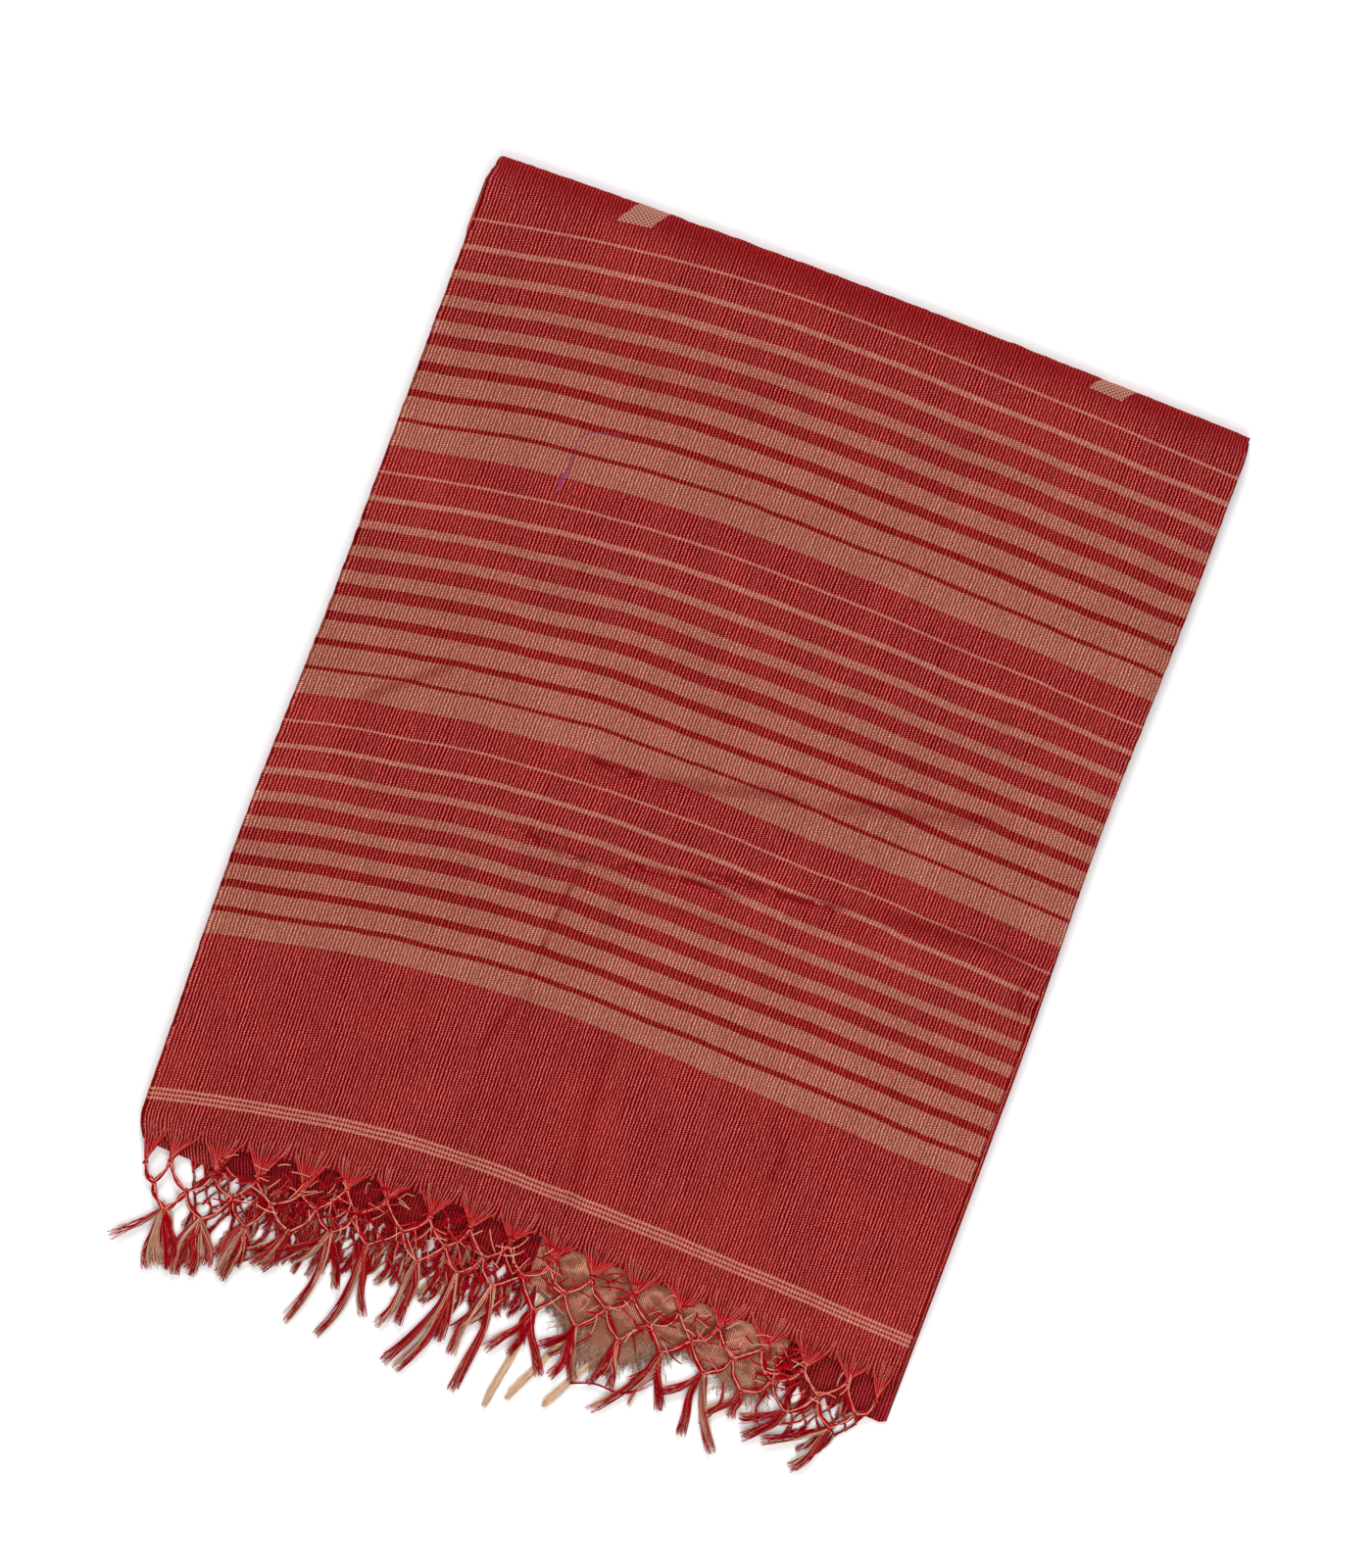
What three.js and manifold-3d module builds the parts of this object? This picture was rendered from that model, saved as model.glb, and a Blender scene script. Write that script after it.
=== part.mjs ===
// A handloom cotton sari, folded lengthwise and crosswise, lying flat with its knotted fringe spread out.
// Millimetres. +X runs across the folded width, +Y towards the top fold, +Z up; it rests on z = 0.
//
// Cloth places are given as u, across from the left edge, and v, down from the top fold. A place near the end
// of the weave is also given by its drop, the distance past that end, which is negative on the cloth.
import * as THREE from 'three';
import { mergeVertices } from 'three/addons/utils/BufferGeometryUtils.js';
import Module from 'manifold-3d';

const wasm = await Module();
wasm.setup();

// ---- driving dimensions ----

const LOOM_WIDTH = 1172;
const FOLDED_WIDTH = LOOM_WIDTH / 2;
const PANEL_LENGTH = 726; // top fold to the end of the weave, where the weft bows furthest up
const STACK_HEIGHT = 11.9;
const PLY = 1; // wall of one ply
const GAP = 0.3; // between neighbouring pieces
const FOLD_RADIUS = STACK_HEIGHT / 2;
const TUCK_LENGTH = 34; // cloth turned under the bundle at the top fold
const LIP_DROP = 4.2; // how far the lengthwise fold turns down at the left edge
const LIP_RADIUS = 3.2;

// The weft isn't straight: it bows down from its crown towards both edges.
const BOW = { crown: 257, left: 35.7, leftPower: 1.8, right: 12.7, rightPower: 1.5 };

// The top fold bows up between its two corners.
const FOLD_BOW = { left: 3.2, right: 0.7, rise: 4.4, power: 0.85 };

// The long edges: the left one swells, the right one is drawn in, and the hem's left corner is cut back.
const LEFT_SWELL = { v: 527, reach: 210, amount: 3.5 };
const RIGHT_WAIST = { v: 310, reach: 190, amount: 3.2, margin: 2.6 };
const CORNER_CUT = { length: 26, amount: 8.5 };

// The upper half lies back from the lower half's right edge, from this v down.
const SET_BACK = { v: 400, reach: 45, amount: 3.6 };

// Near the hem the stack runs out and each ply sinks: where it starts, over what length, and how far.
const UPPER_SINK = { start: -70, length: 85, depth: 6.2 };
const LOWER_SINK = { start: -120, length: 148, depth: 9 };
const LOWER_TOP = STACK_HEIGHT - PLY - GAP;
const LOWER_HEM = { drop: 28, rise: 30, reach: 180 }; // its left end rises towards the upper half's hem
const LOWER_HEAD = 40; // where the lower half starts, hidden below the top fold
const BODY_TOP = LOWER_TOP - PLY - GAP;
const BODY_END_DROP = -4;

// The plain end, between the two halves.
const PLAIN_END = { left: 316, right: 503, head: -55, hem: 39, sink: 1.1 };

// The largest creases of the upper half: a soft ridge along each line from (u0, v0) to (u1, v1).
const CREASES = [
  { u0: 185, v0: 392, u1: 345, v1: 372, height: 1.0, reach: 20 },
  { u0: 345, v0: 372, u1: 513, v1: 327, height: 1.5, reach: 22 },
  { u0: 185, v0: 453, u1: 300, v1: 455, height: 1.2, reach: 18 },
  { u0: 300, v0: 445, u1: 470, v1: 424, height: 1.6, reach: 20 },
  { u0: 240, v0: 445, u1: 231, v1: 590, height: 0.9, reach: 16 },
  { u0: 303, v0: 565, u1: 314, v1: 700, height: 0.8, reach: 18 },
  { u0: 43, v0: 406, u1: 107, v1: 353, height: 0.8, reach: 18 },
];

// The hidden panels, from the floor up: the top of each bundle of plies and how far it lies in at each side.
const LAYERS = [
  { top: 2.3, left: 0.7, right: 1.5 },
  { top: 4.1, left: 1.9, right: 0.4 },
  { top: 5.9, left: 0.4, right: 1.9 },
  { top: 7.5, left: 1.3, right: 0.7 },
  { top: BODY_TOP, left: 1.9, right: 1.6 },
];
const LAYER_ROUNDING = 0.9;
const LEDGE = { inset: 38, low: PLY + GAP + 0.05, high: PLY + GAP + 0.3 };

// The bunches of warp ends: where each first knot lies.
const BUNCHES = [
  { u: 16, drop: 17 }, { u: 33, drop: 14 }, { u: 66, drop: 20 }, { u: 97, drop: 18 },
  { u: 131, drop: 20 }, { u: 161, drop: 10 }, { u: 191, drop: 11.5 }, { u: 225, drop: 14 },
  { u: 255, drop: 11.5 }, { u: 286, drop: 12.5 }, { u: 319, drop: 16 }, { u: 351, drop: 13.5 },
  { u: 384, drop: 14 }, { u: 419, drop: 11.5 }, { u: 450, drop: 10.5 }, { u: 485, drop: 13 },
  { u: 519, drop: 14 }, { u: 552, drop: 10.5 }, { u: 576, drop: 15 },
];
const ROW_STEPS = [16, 18]; // from each row of knots to the next
const FAN = { reach: 9, radius: 0.7, root: 1.3 };
const LEG_RADIUS = 1;
const KNOT = { radius: 1.9, flatness: 0.7 };
const STRIP_WIDTH = 2;
const NET_HEIGHT = { low: 2.5, fall: 3.2, length: 75 };

// Tassels: the bunch that each hangs under, where it ends, and how far it bellies sideways on its way.
const TASSELS = [
  { bunch: 0, u: 9, drop: 75, belly: 2 }, { bunch: 1, u: 43, drop: 97, belly: -3 },
  { bunch: 1, u: 54, drop: 95, belly: 2 }, { bunch: 2, u: 65, drop: 98, belly: -3 },
  { bunch: 2, u: 76, drop: 97, belly: 3 }, { bunch: 3, u: 98, drop: 96, belly: 4 },
  { bunch: 4, u: 113, drop: 80, belly: 3 }, { bunch: 4, u: 121, drop: 82, belly: 4 },
  { bunch: 5, u: 150, drop: 116, belly: 6 }, { bunch: 5, u: 178, drop: 84, belly: 2 },
  { bunch: 6, u: 176, drop: 121, belly: 6 }, { bunch: 6, u: 204, drop: 98, belly: -2 },
  { bunch: 7, u: 214, drop: 103, belly: 3 }, { bunch: 7, u: 229, drop: 96, belly: 3 },
  { bunch: 8, u: 228, drop: 125, belly: 7 }, { bunch: 8, u: 261, drop: 98, belly: 2 },
  { bunch: 8, u: 238, drop: 128, belly: 9 }, { bunch: 9, u: 273, drop: 104, belly: -3 },
  { bunch: 9, u: 283, drop: 129, belly: 5 }, { bunch: 10, u: 295, drop: 91, belly: 3 },
  { bunch: 10, u: 311, drop: 88, belly: 4 }, { bunch: 10, u: 340, drop: 94, belly: -3 },
  { bunch: 11, u: 346, drop: 92, belly: 4 }, { bunch: 11, u: 363, drop: 88, belly: -2 },
  { bunch: 12, u: 373, drop: 86, belly: 2 }, { bunch: 12, u: 389, drop: 83, belly: 1 },
  { bunch: 13, u: 431, drop: 84, belly: -2 }, { bunch: 13, u: 381, drop: 105, belly: 6 },
  { bunch: 14, u: 451, drop: 95, belly: -3 }, { bunch: 14, u: 477, drop: 98, belly: -4 },
  { bunch: 15, u: 481, drop: 69, belly: 1 }, { bunch: 16, u: 492, drop: 78, belly: 4 },
  { bunch: 17, u: 507, drop: 75, belly: 3 }, { bunch: 17, u: 533, drop: 86, belly: 4 },
];
const TASSEL = { radius: 1.2, level: 3, tip: 1.65, from: 95, length: 30, steps: 3 };

// The lower net as far as it shows: its bunches, each with two legs, and its tassels.
const LOWER_NET = [
  { from: 52, to: 300, bunches: 8 },
  { from: 510, to: 572, bunches: 3 },
];
const LOWER_FRINGE = { row: 13, tassel: 30, lean: 7, radius: 0.42, height: 0.95, knot: 0.9 };

// Loose tan locks on the plain end: root and tip.
const PLAIN_LOCKS = [
  { u: 321, tipU: 308, tip: 127 }, { u: 333, tipU: 321, tip: 117 }, { u: 347, tipU: 336, tip: 96 },
  { u: 363, tipU: 350, tip: 115 }, { u: 378, tipU: 366, tip: 94 }, { u: 396, tipU: 390, tip: 86 },
  { u: 415, tipU: 421, tip: 78 }, { u: 440, tipU: 446, tip: 82 }, { u: 466, tipU: 474, tip: 98 },
  { u: 489, tipU: 485, tip: 74 },
];
const LOCK = { radius: 0.55, height: 0.95, steps: 3 };

// ---- cloth lines and heights ----

function smooth(t) {
  const s = THREE.MathUtils.clamp(t, 0, 1);
  return s * s * (3 - 2 * s);
}

// The share t at which smooth(t) reaches s.
function smoothInverse(s) {
  return 0.5 - Math.sin(Math.asin(1 - 2 * s) / 3);
}

function swell(v, bump) {
  return bump.amount * smooth(1 - Math.abs(v - bump.v) / bump.reach);
}

function hem(u) {
  if (u < BOW.crown) {
    return PANEL_LENGTH + BOW.left * ((BOW.crown - u) / BOW.crown) ** BOW.leftPower;
  }
  return PANEL_LENGTH + BOW.right * ((u - BOW.crown) / (FOLDED_WIDTH - BOW.crown)) ** BOW.rightPower;
}

function foldLine(u) {
  const share = THREE.MathUtils.clamp(u / FOLDED_WIDTH, 0, 1);
  const corners = THREE.MathUtils.lerp(FOLD_BOW.left, FOLD_BOW.right, share);
  return -corners - FOLD_BOW.rise * Math.sin(Math.PI * share ** FOLD_BOW.power);
}

function leftEdge(v) {
  const intoCorner = Math.max(0, v - hem(0) + CORNER_CUT.length) / CORNER_CUT.length;
  return CORNER_CUT.amount * intoCorner ** 2 - swell(v, LEFT_SWELL);
}

function rightEdge(v) {
  return FOLDED_WIDTH + RIGHT_WAIST.margin - swell(v, RIGHT_WAIST);
}

function upperRightEdge(v) {
  return rightEdge(v) - SET_BACK.amount * smooth((v - SET_BACK.v) / SET_BACK.reach);
}

function lowerHemDrop(u) {
  return LOWER_HEM.drop - LOWER_HEM.rise * Math.max(0, 1 - u / LOWER_HEM.reach) ** 2;
}

function sunk(top, sink, drop) {
  return top - sink.depth * smooth((drop - sink.start) / sink.length);
}

function lowerHeight(drop) {
  return sunk(LOWER_TOP, LOWER_SINK, drop);
}

// Where the lower half has sunk so far that the body below it ends at height z.
function bodyEndDrop(z) {
  const share = (LOWER_TOP - PLY - GAP - 0.1 - z) / LOWER_SINK.depth;
  const drop = LOWER_SINK.start + LOWER_SINK.length * smoothInverse(THREE.MathUtils.clamp(share, 0, 1));
  return Math.min(drop, BODY_END_DROP);
}

// Height that the creases add at a place: each is a soft ridge that fades out at its ends.
function creaseHeight(u, v) {
  let height = 0;
  for (const crease of CREASES) {
    const alongU = crease.u1 - crease.u0;
    const alongV = crease.v1 - crease.v0;
    const length = Math.hypot(alongU, alongV);
    const along = ((u - crease.u0) * alongU + (v - crease.v0) * alongV) / length;
    const across = ((u - crease.u0) * alongV - (v - crease.v0) * alongU) / length;
    const fade = smooth(along / crease.reach + 0.5) * smooth((length - along) / crease.reach + 0.5);
    height = Math.max(height, crease.height * fade * smooth(1 - Math.abs(across) / crease.reach));
  }
  return height;
}

function upperHeight(u, v) {
  return sunk(STACK_HEIGHT, UPPER_SINK, v - hem(u)) + creaseHeight(u, v);
}

function place(u, v, z) {
  return new THREE.Vector3(u - FOLDED_WIDTH / 2, -v, z);
}

// ---- building closed solids from rows of points ----

function geometryFrom(points, faces) {
  const geometry = new THREE.BufferGeometry().setFromPoints(points);
  geometry.setIndex(faces);
  geometry.computeVertexNormals();
  return geometry;
}

// A wall between a grid of outer points and the same grid moved inwards. Rows run on, points run across.
function wallSolid(outer, inner) {
  const rowCount = outer.length;
  const columnCount = outer[0].length;
  const points = [...outer.flat(), ...inner.flat()];
  const faces = [];
  const outerAt = (row, column) => row * columnCount + column;
  const innerAt = (row, column) => rowCount * columnCount + outerAt(row, column);
  const quad = (a, b, c, d) => faces.push(a, b, c, a, c, d);
  for (let row = 0; row < rowCount - 1; row += 1) {
    const next = row + 1;
    for (let column = 0; column < columnCount - 1; column += 1) {
      const beside = column + 1;
      quad(outerAt(row, column), outerAt(next, column), outerAt(next, beside), outerAt(row, beside));
      quad(innerAt(row, column), innerAt(row, beside), innerAt(next, beside), innerAt(next, column));
    }
    const last = columnCount - 1;
    quad(outerAt(row, 0), innerAt(row, 0), innerAt(row + 1, 0), outerAt(row + 1, 0));
    quad(outerAt(row, last), outerAt(row + 1, last), innerAt(row + 1, last), innerAt(row, last));
  }
  for (let column = 0; column < columnCount - 1; column += 1) {
    const last = rowCount - 1;
    quad(outerAt(0, column), outerAt(0, column + 1), innerAt(0, column + 1), innerAt(0, column));
    quad(outerAt(last, column), innerAt(last, column), innerAt(last, column + 1), outerAt(last, column + 1));
  }
  return geometryFrom(points, faces);
}

// The same points moved down by one ply.
function pliedDown(rows) {
  return rows.map((row) => row.map((point) => point.clone().setZ(point.z - PLY)));
}

function evenly(from, to, count) {
  return Array.from({ length: count + 1 }, (_, i) => from + ((to - from) * i) / count);
}

// ---- the cloth ----

const COLUMNS = 24;

// A place on a cloth whose v follows the hem: its share of the width, between two edge lines.
function clothPlace(share, leftAt, rightAt, vAt) {
  const roughV = vAt(share * FOLDED_WIDTH);
  const u = THREE.MathUtils.lerp(leftAt(roughV), rightAt(roughV), share);
  return { u, v: vAt(u) };
}

// Places across the upper half, from the turned-down lip to the right edge: the share of the width, how far
// the place lies in from the edge, how deep it drops, and the direction that faces out there.
function acrossUpperHalf() {
  const places = [
    { share: 0, in: 0.3, depth: LIP_DROP, outU: -1, outN: 0 },
    { share: 0, in: 0, depth: LIP_RADIUS, outU: -1, outN: 0 },
    { share: 0, in: LIP_RADIUS * 0.3, depth: LIP_RADIUS * 0.3, outU: -Math.SQRT1_2, outN: Math.SQRT1_2 },
    { share: 0, in: LIP_RADIUS, depth: 0, outU: 0, outN: 1 },
  ];
  for (const share of evenly(0, 1, COLUMNS).slice(1)) {
    places.push({ share, in: LIP_RADIUS, depth: 0, outU: 0, outN: 1 });
  }
  return places;
}

// Stations down the upper half, from the tuck under the bundle, round the top fold, to the hem. Each gives
// v and z for a column, and the direction in that column's upright plane that faces out.
const ARC_STEPS = 7;
const TOP_BANDS = [
  { from: 0, to: 0.42, rows: 6 },
  { from: 0.42, to: 0.66, rows: 14 },
  { from: 0.66, to: 0.9, rows: 7 },
  { from: 0.9, to: 1, rows: 7 },
];

function upperStations() {
  const stations = [{ v: (fold) => fold + TUCK_LENGTH, z: () => 0, outV: 0, outZ: -1 }];
  for (const angle of evenly(-Math.PI / 2, Math.PI / 2, ARC_STEPS)) {
    stations.push({
      v: (fold) => fold + FOLD_RADIUS * (1 - Math.cos(angle)),
      z: () => FOLD_RADIUS * (1 + Math.sin(angle)),
      outV: -Math.cos(angle),
      outZ: Math.sin(angle),
    });
  }
  for (const share of TOP_BANDS.flatMap((band) => evenly(band.from, band.to, band.rows).slice(1))) {
    stations.push({
      v: (fold, end) => THREE.MathUtils.lerp(fold + FOLD_RADIUS, end, share),
      z: (u, v) => upperHeight(u, v),
      outV: 0,
      outZ: 1,
    });
  }
  return stations;
}

function upperHalfRows(thickness) {
  return upperStations().map((station) => acrossUpperHalf().map((across) => {
    const vAt = (edgeU) => station.v(foldLine(edgeU), hem(edgeU));
    const leftAt = (roughV) => leftEdge(roughV) + across.in;
    const edge = clothPlace(across.share, leftAt, upperRightEdge, vAt);
    const u = edge.u - across.outU * thickness;
    const v = edge.v;
    const depth = across.depth + across.outN * thickness;
    return place(u, v - station.outV * depth, station.z(u, v) - station.outZ * depth);
  }));
}

function endPieceUpper() {
  return wallSolid(upperHalfRows(0), upperHalfRows(PLY));
}

function endPieceLower() {
  const flatPart = [0, 0.5];
  const sinkPart = evenly(0, 1, 12);
  const shares = evenly(0, 1, 28);
  const leftAt = (v) => leftEdge(v) + LIP_RADIUS + GAP;
  const row = (vAt) => shares.map((share) => {
    const { u, v } = clothPlace(share, leftAt, rightEdge, vAt);
    return place(u, v, lowerHeight(v - hem(u)));
  });
  const outer = [
    ...flatPart.map((part) => row((u) => THREE.MathUtils.lerp(LOWER_HEAD, hem(u) + LOWER_SINK.start, part))),
    ...sinkPart.map((part) => row((u) => {
      return hem(u) + THREE.MathUtils.lerp(LOWER_SINK.start, lowerHemDrop(u), part);
    })),
  ];
  return wallSolid(outer, pliedDown(outer));
}

function plainEndHeight(drop) {
  const past = smooth((drop - LOWER_HEM.drop) / (PLAIN_END.hem + 3 - LOWER_HEM.drop));
  return lowerHeight(Math.min(drop, LOWER_HEM.drop)) + PLY + GAP - PLAIN_END.sink * past;
}

function plainEnd() {
  const across = evenly(PLAIN_END.left, PLAIN_END.right, 8);
  const outer = evenly(PLAIN_END.head, PLAIN_END.hem, 11).map((drop) => {
    return across.map((u) => place(u, hem(u) + drop, plainEndHeight(drop)));
  });
  return wallSolid(outer, pliedDown(outer));
}

// One level outline of the hidden panels: along the hem, up the right side, back along the top fold, down the
// left side.
function bodyRing(z, layer, extra) {
  const belowTuck = z < LEDGE.low + 0.01;
  const innerRadius = FOLD_RADIUS - PLY - GAP;
  const rise = THREE.MathUtils.clamp(z - FOLD_RADIUS, -innerRadius, innerRadius);
  const roundIn = FOLD_RADIUS - Math.sqrt(innerRadius ** 2 - rise ** 2);
  const headAt = (u) => foldLine(u) + (belowTuck ? LEDGE.inset : roundIn) + extra;
  const endAt = (u) => hem(u) + bodyEndDrop(z) - extra;
  const lipIn = LIP_RADIUS + GAP;
  const leftAt = (v) => leftEdge(v) + Math.max(layer.left + extra, v < 60 ? lipIn + extra : 0);
  const rightAt = (v) => rightEdge(v) - layer.right - extra;
  const rounding = 3;
  const ring = [];
  for (const share of evenly(0, 1, 20)) {
    const v = endAt(share * FOLDED_WIDTH) - (share === 0 || share === 1 ? rounding : 0);
    ring.push(place(THREE.MathUtils.lerp(leftAt(v), rightAt(v), share), v, z));
  }
  const rightEnd = endAt(FOLDED_WIDTH) - 3 * rounding;
  for (const v of evenly(rightEnd, headAt(FOLDED_WIDTH) + rounding, 12)) {
    ring.push(place(rightAt(v), v, z));
  }
  for (const share of evenly(1, 0, 14).slice(1, -1)) {
    const v = headAt(share * FOLDED_WIDTH);
    ring.push(place(THREE.MathUtils.lerp(leftAt(v), rightAt(v), share), v, z));
  }
  const leftEnd = endAt(0) - 3 * rounding;
  for (const v of evenly(headAt(0) + rounding, leftEnd, 12)) {
    ring.push(place(leftAt(v), v, z));
  }
  return ring;
}

function foldedBody() {
  const rings = [];
  let bottom = 0;
  for (const layer of LAYERS) {
    const middle = (bottom + layer.top) / 2;
    const nearBottom = bottom === 0 ? LEDGE.low : bottom + 0.25;
    if (bottom === 0) {
      rings.push(bodyRing(0, layer, LAYER_ROUNDING));
      rings.push(bodyRing(nearBottom, layer, 0.2));
      rings.push(bodyRing(LEDGE.high, layer, 0));
    } else {
      rings.push(bodyRing(nearBottom, layer, LAYER_ROUNDING));
      rings.push(bodyRing(middle, layer, 0));
    }
    rings.push(bodyRing(layer.top, layer, LAYER_ROUNDING));
    bottom = layer.top;
  }
  const count = rings[0].length;
  const points = rings.flat();
  const faces = [];
  for (let ring = 0; ring < rings.length - 1; ring += 1) {
    for (let i = 0; i < count; i += 1) {
      const next = (i + 1) % count;
      const a = ring * count + i;
      const b = ring * count + next;
      faces.push(a, b, b + count, a, b + count, a + count);
    }
  }
  for (const [ring, order] of [[0, -1], [rings.length - 1, 1]]) {
    const centre = new THREE.Vector3();
    rings[ring].forEach((point) => centre.addScaledVector(point, 1 / count));
    const hub = points.push(centre) - 1;
    for (let i = 0; i < count; i += 1) {
      const a = ring * count + i;
      const b = ring * count + ((i + 1) % count);
      faces.push(hub, order > 0 ? a : b, order > 0 ? b : a);
    }
  }
  return geometryFrom(points, faces);
}

// ---- the fringe ----

function asManifold(geometry) {
  geometry.deleteAttribute('normal');
  geometry.deleteAttribute('uv');
  const merged = mergeVertices(geometry, 1e-4);
  return new wasm.Manifold(new wasm.Mesh({
    numProp: 3,
    vertProperties: new Float32Array(merged.attributes.position.array),
    triVerts: new Uint32Array(merged.index.array),
  }));
}

function joined(geometries) {
  let solids = geometries.map(asManifold);
  while (solids.length > 1) {
    const halved = [];
    for (let i = 0; i < solids.length; i += 2) {
      halved.push(i + 1 < solids.length ? solids[i].add(solids[i + 1]) : solids[i]);
    }
    solids = halved;
  }
  const mesh = solids[0].getMesh();
  const geometry = new THREE.BufferGeometry();
  geometry.setAttribute('position', new THREE.BufferAttribute(mesh.vertProperties, 3));
  geometry.setIndex(new THREE.BufferAttribute(mesh.triVerts, 1));
  geometry.computeVertexNormals();
  return geometry;
}

function strand(curve, radius, sides, steps) {
  const section = new THREE.Shape(evenly(0, 2 * Math.PI, sides).slice(0, -1).map((angle) => {
    return new THREE.Vector2(radius * Math.cos(angle), radius * Math.sin(angle));
  }));
  return new THREE.ExtrudeGeometry(section, { steps, bevelEnabled: false, extrudePath: curve });
}

function straightStrand(from, to, radius) {
  return strand(new THREE.LineCurve3(from, to), radius, 3, 1);
}

function knot(at, radius) {
  const geometry = new THREE.OctahedronGeometry(radius, 0);
  geometry.rotateZ(Math.PI / 4);
  geometry.scale(1, 1, KNOT.flatness);
  geometry.translate(at.x, at.y, at.z);
  return geometry;
}

function netHeight(drop) {
  return NET_HEIGHT.low + NET_HEIGHT.fall * (1 - smooth(drop / NET_HEIGHT.length));
}

function netPoint({ u, drop }) {
  return place(u, hem(u) + drop, netHeight(drop));
}

// The next row of knots hangs between each two of the row above; the outermost ones are under the last knot.
function between(row, step) {
  const next = [];
  for (let i = 0; i < row.length - 1; i += 1) {
    next.push({ u: (row[i].u + row[i + 1].u) / 2, drop: (row[i].drop + row[i + 1].drop) / 2 + step });
  }
  return next;
}

function hemStripRows() {
  const edge = upperHalfRows(0).at(-1);
  const stripTop = edge.slice(3);
  return [GAP, GAP + STRIP_WIDTH].map((out) => stripTop.map((point) => {
    return new THREE.Vector3(point.x, point.y - out, point.z);
  }));
}

function fringeUpper() {
  const rows = hemStripRows();
  const pieces = [wallSolid(rows, pliedDown(rows))];
  const first = BUNCHES;
  const second = between(first, ROW_STEPS[0]);
  const third = between(second, ROW_STEPS[1]);
  const rootHeight = upperHeight(FOLDED_WIDTH / 2, hem(FOLDED_WIDTH / 2)) - PLY / 2;
  const rightLimit = upperRightEdge(PANEL_LENGTH) - FAN.root;
  for (const bunch of first) {
    for (const side of [-1, 1]) {
      const u = THREE.MathUtils.clamp(bunch.u + side * FAN.reach, CORNER_CUT.amount + 5, rightLimit);
      const root = place(u, hem(u) + FAN.root, rootHeight);
      pieces.push(straightStrand(root, netPoint(bunch), FAN.radius));
    }
  }
  for (const [upper, lower] of [[first, second], [second, third]]) {
    lower.forEach((bunch, i) => {
      pieces.push(straightStrand(netPoint(upper[i]), netPoint(bunch), LEG_RADIUS));
      pieces.push(straightStrand(netPoint(upper[i + 1]), netPoint(bunch), LEG_RADIUS));
    });
  }
  for (const bunch of [...first, ...second, ...third]) {
    pieces.push(knot(netPoint(bunch), KNOT.radius));
  }
  for (const tassel of TASSELS) {
    const root = third[THREE.MathUtils.clamp(tassel.bunch - 1, 0, third.length - 1)];
    pieces.push(strand(tasselCurve(root, tassel), TASSEL.radius, 3, TASSEL.steps));
  }
  return joined(pieces);
}

function tasselCurve(root, tassel) {
  const start = netPoint(root);
  const level = (drop) => {
    const down = smooth((drop - TASSEL.from) / TASSEL.length);
    return THREE.MathUtils.lerp(TASSEL.level, TASSEL.tip, down);
  };
  const at = (share, belly) => {
    const u = THREE.MathUtils.lerp(root.u, tassel.u, share) + belly * Math.sin(Math.PI * share);
    const drop = THREE.MathUtils.lerp(root.drop, tassel.drop, share);
    return place(u, hem(u) + drop, level(drop));
  };
  return new THREE.CatmullRomCurve3([start, at(0.35, tassel.belly), at(0.7, tassel.belly), at(1, 0)]);
}

function fringeLower(net) {
  const z = LOWER_FRINGE.height;
  const spacing = (net.to - net.from) / net.bunches;
  const stripStart = (u) => hem(u) + lowerHemDrop(u) + GAP;
  const lowest = lowerHeight(LOWER_HEM.drop);
  const rows = [0, STRIP_WIDTH].map((out) => {
    return evenly(net.from, net.to, net.bunches * 2).map((u) => place(u, stripStart(u) + out, lowest));
  });
  const pieces = [wallSolid(rows, pliedDown(rows))];
  for (let i = 0; i < net.bunches; i += 1) {
    const middle = net.from + (i + 0.5) * spacing;
    const wander = 2.5 * Math.sin(2.4 * i);
    const knotV = stripStart(middle) + LOWER_FRINGE.row + wander;
    const centre = place(middle + wander, knotV, z);
    for (const side of [-1, 1]) {
      const u = middle + side * spacing * 0.36;
      pieces.push(straightStrand(place(u, stripStart(u) + 1, z), centre, LOWER_FRINGE.radius));
    }
    const tipU = middle - LOWER_FRINGE.lean + 2 * wander;
    const tip = place(tipU, knotV + LOWER_FRINGE.tassel + 3 * wander, z);
    pieces.push(straightStrand(centre, tip, LOWER_FRINGE.radius));
    pieces.push(knot(centre, LOWER_FRINGE.knot * 0.7));
  }
  return joined(pieces);
}

function fringePlainEnd() {
  const stripStart = PLAIN_END.hem + GAP;
  const top = plainEndHeight(PLAIN_END.hem);
  const rows = [stripStart, stripStart + STRIP_WIDTH].map((drop) => {
    return evenly(PLAIN_END.left, PLAIN_END.right, 8).map((u) => place(u, hem(u) + drop, top));
  });
  const pieces = [wallSolid(rows, pliedDown(rows))];
  for (const lock of PLAIN_LOCKS) {
    const middleU = (lock.u + lock.tipU) / 2 + 2;
    const middleDrop = (stripStart + lock.tip) / 2;
    const curve = new THREE.CatmullRomCurve3([
      place(lock.u, hem(lock.u) + stripStart + 1, top - PLY * 0.6),
      place(middleU, hem(lock.u) + middleDrop, LOCK.height),
      place(lock.tipU, hem(lock.u) + lock.tip, LOCK.height),
    ]);
    pieces.push(strand(curve, LOCK.radius, 3, LOCK.steps));
  }
  return joined(pieces);
}

// ---- the finished part ----

function cloth(name, geometry, colour, roughness) {
  const material = new THREE.MeshStandardMaterial({ color: colour, roughness, metalness: 0 });
  const mesh = new THREE.Mesh(geometry, material);
  mesh.name = name;
  return mesh;
}

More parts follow.
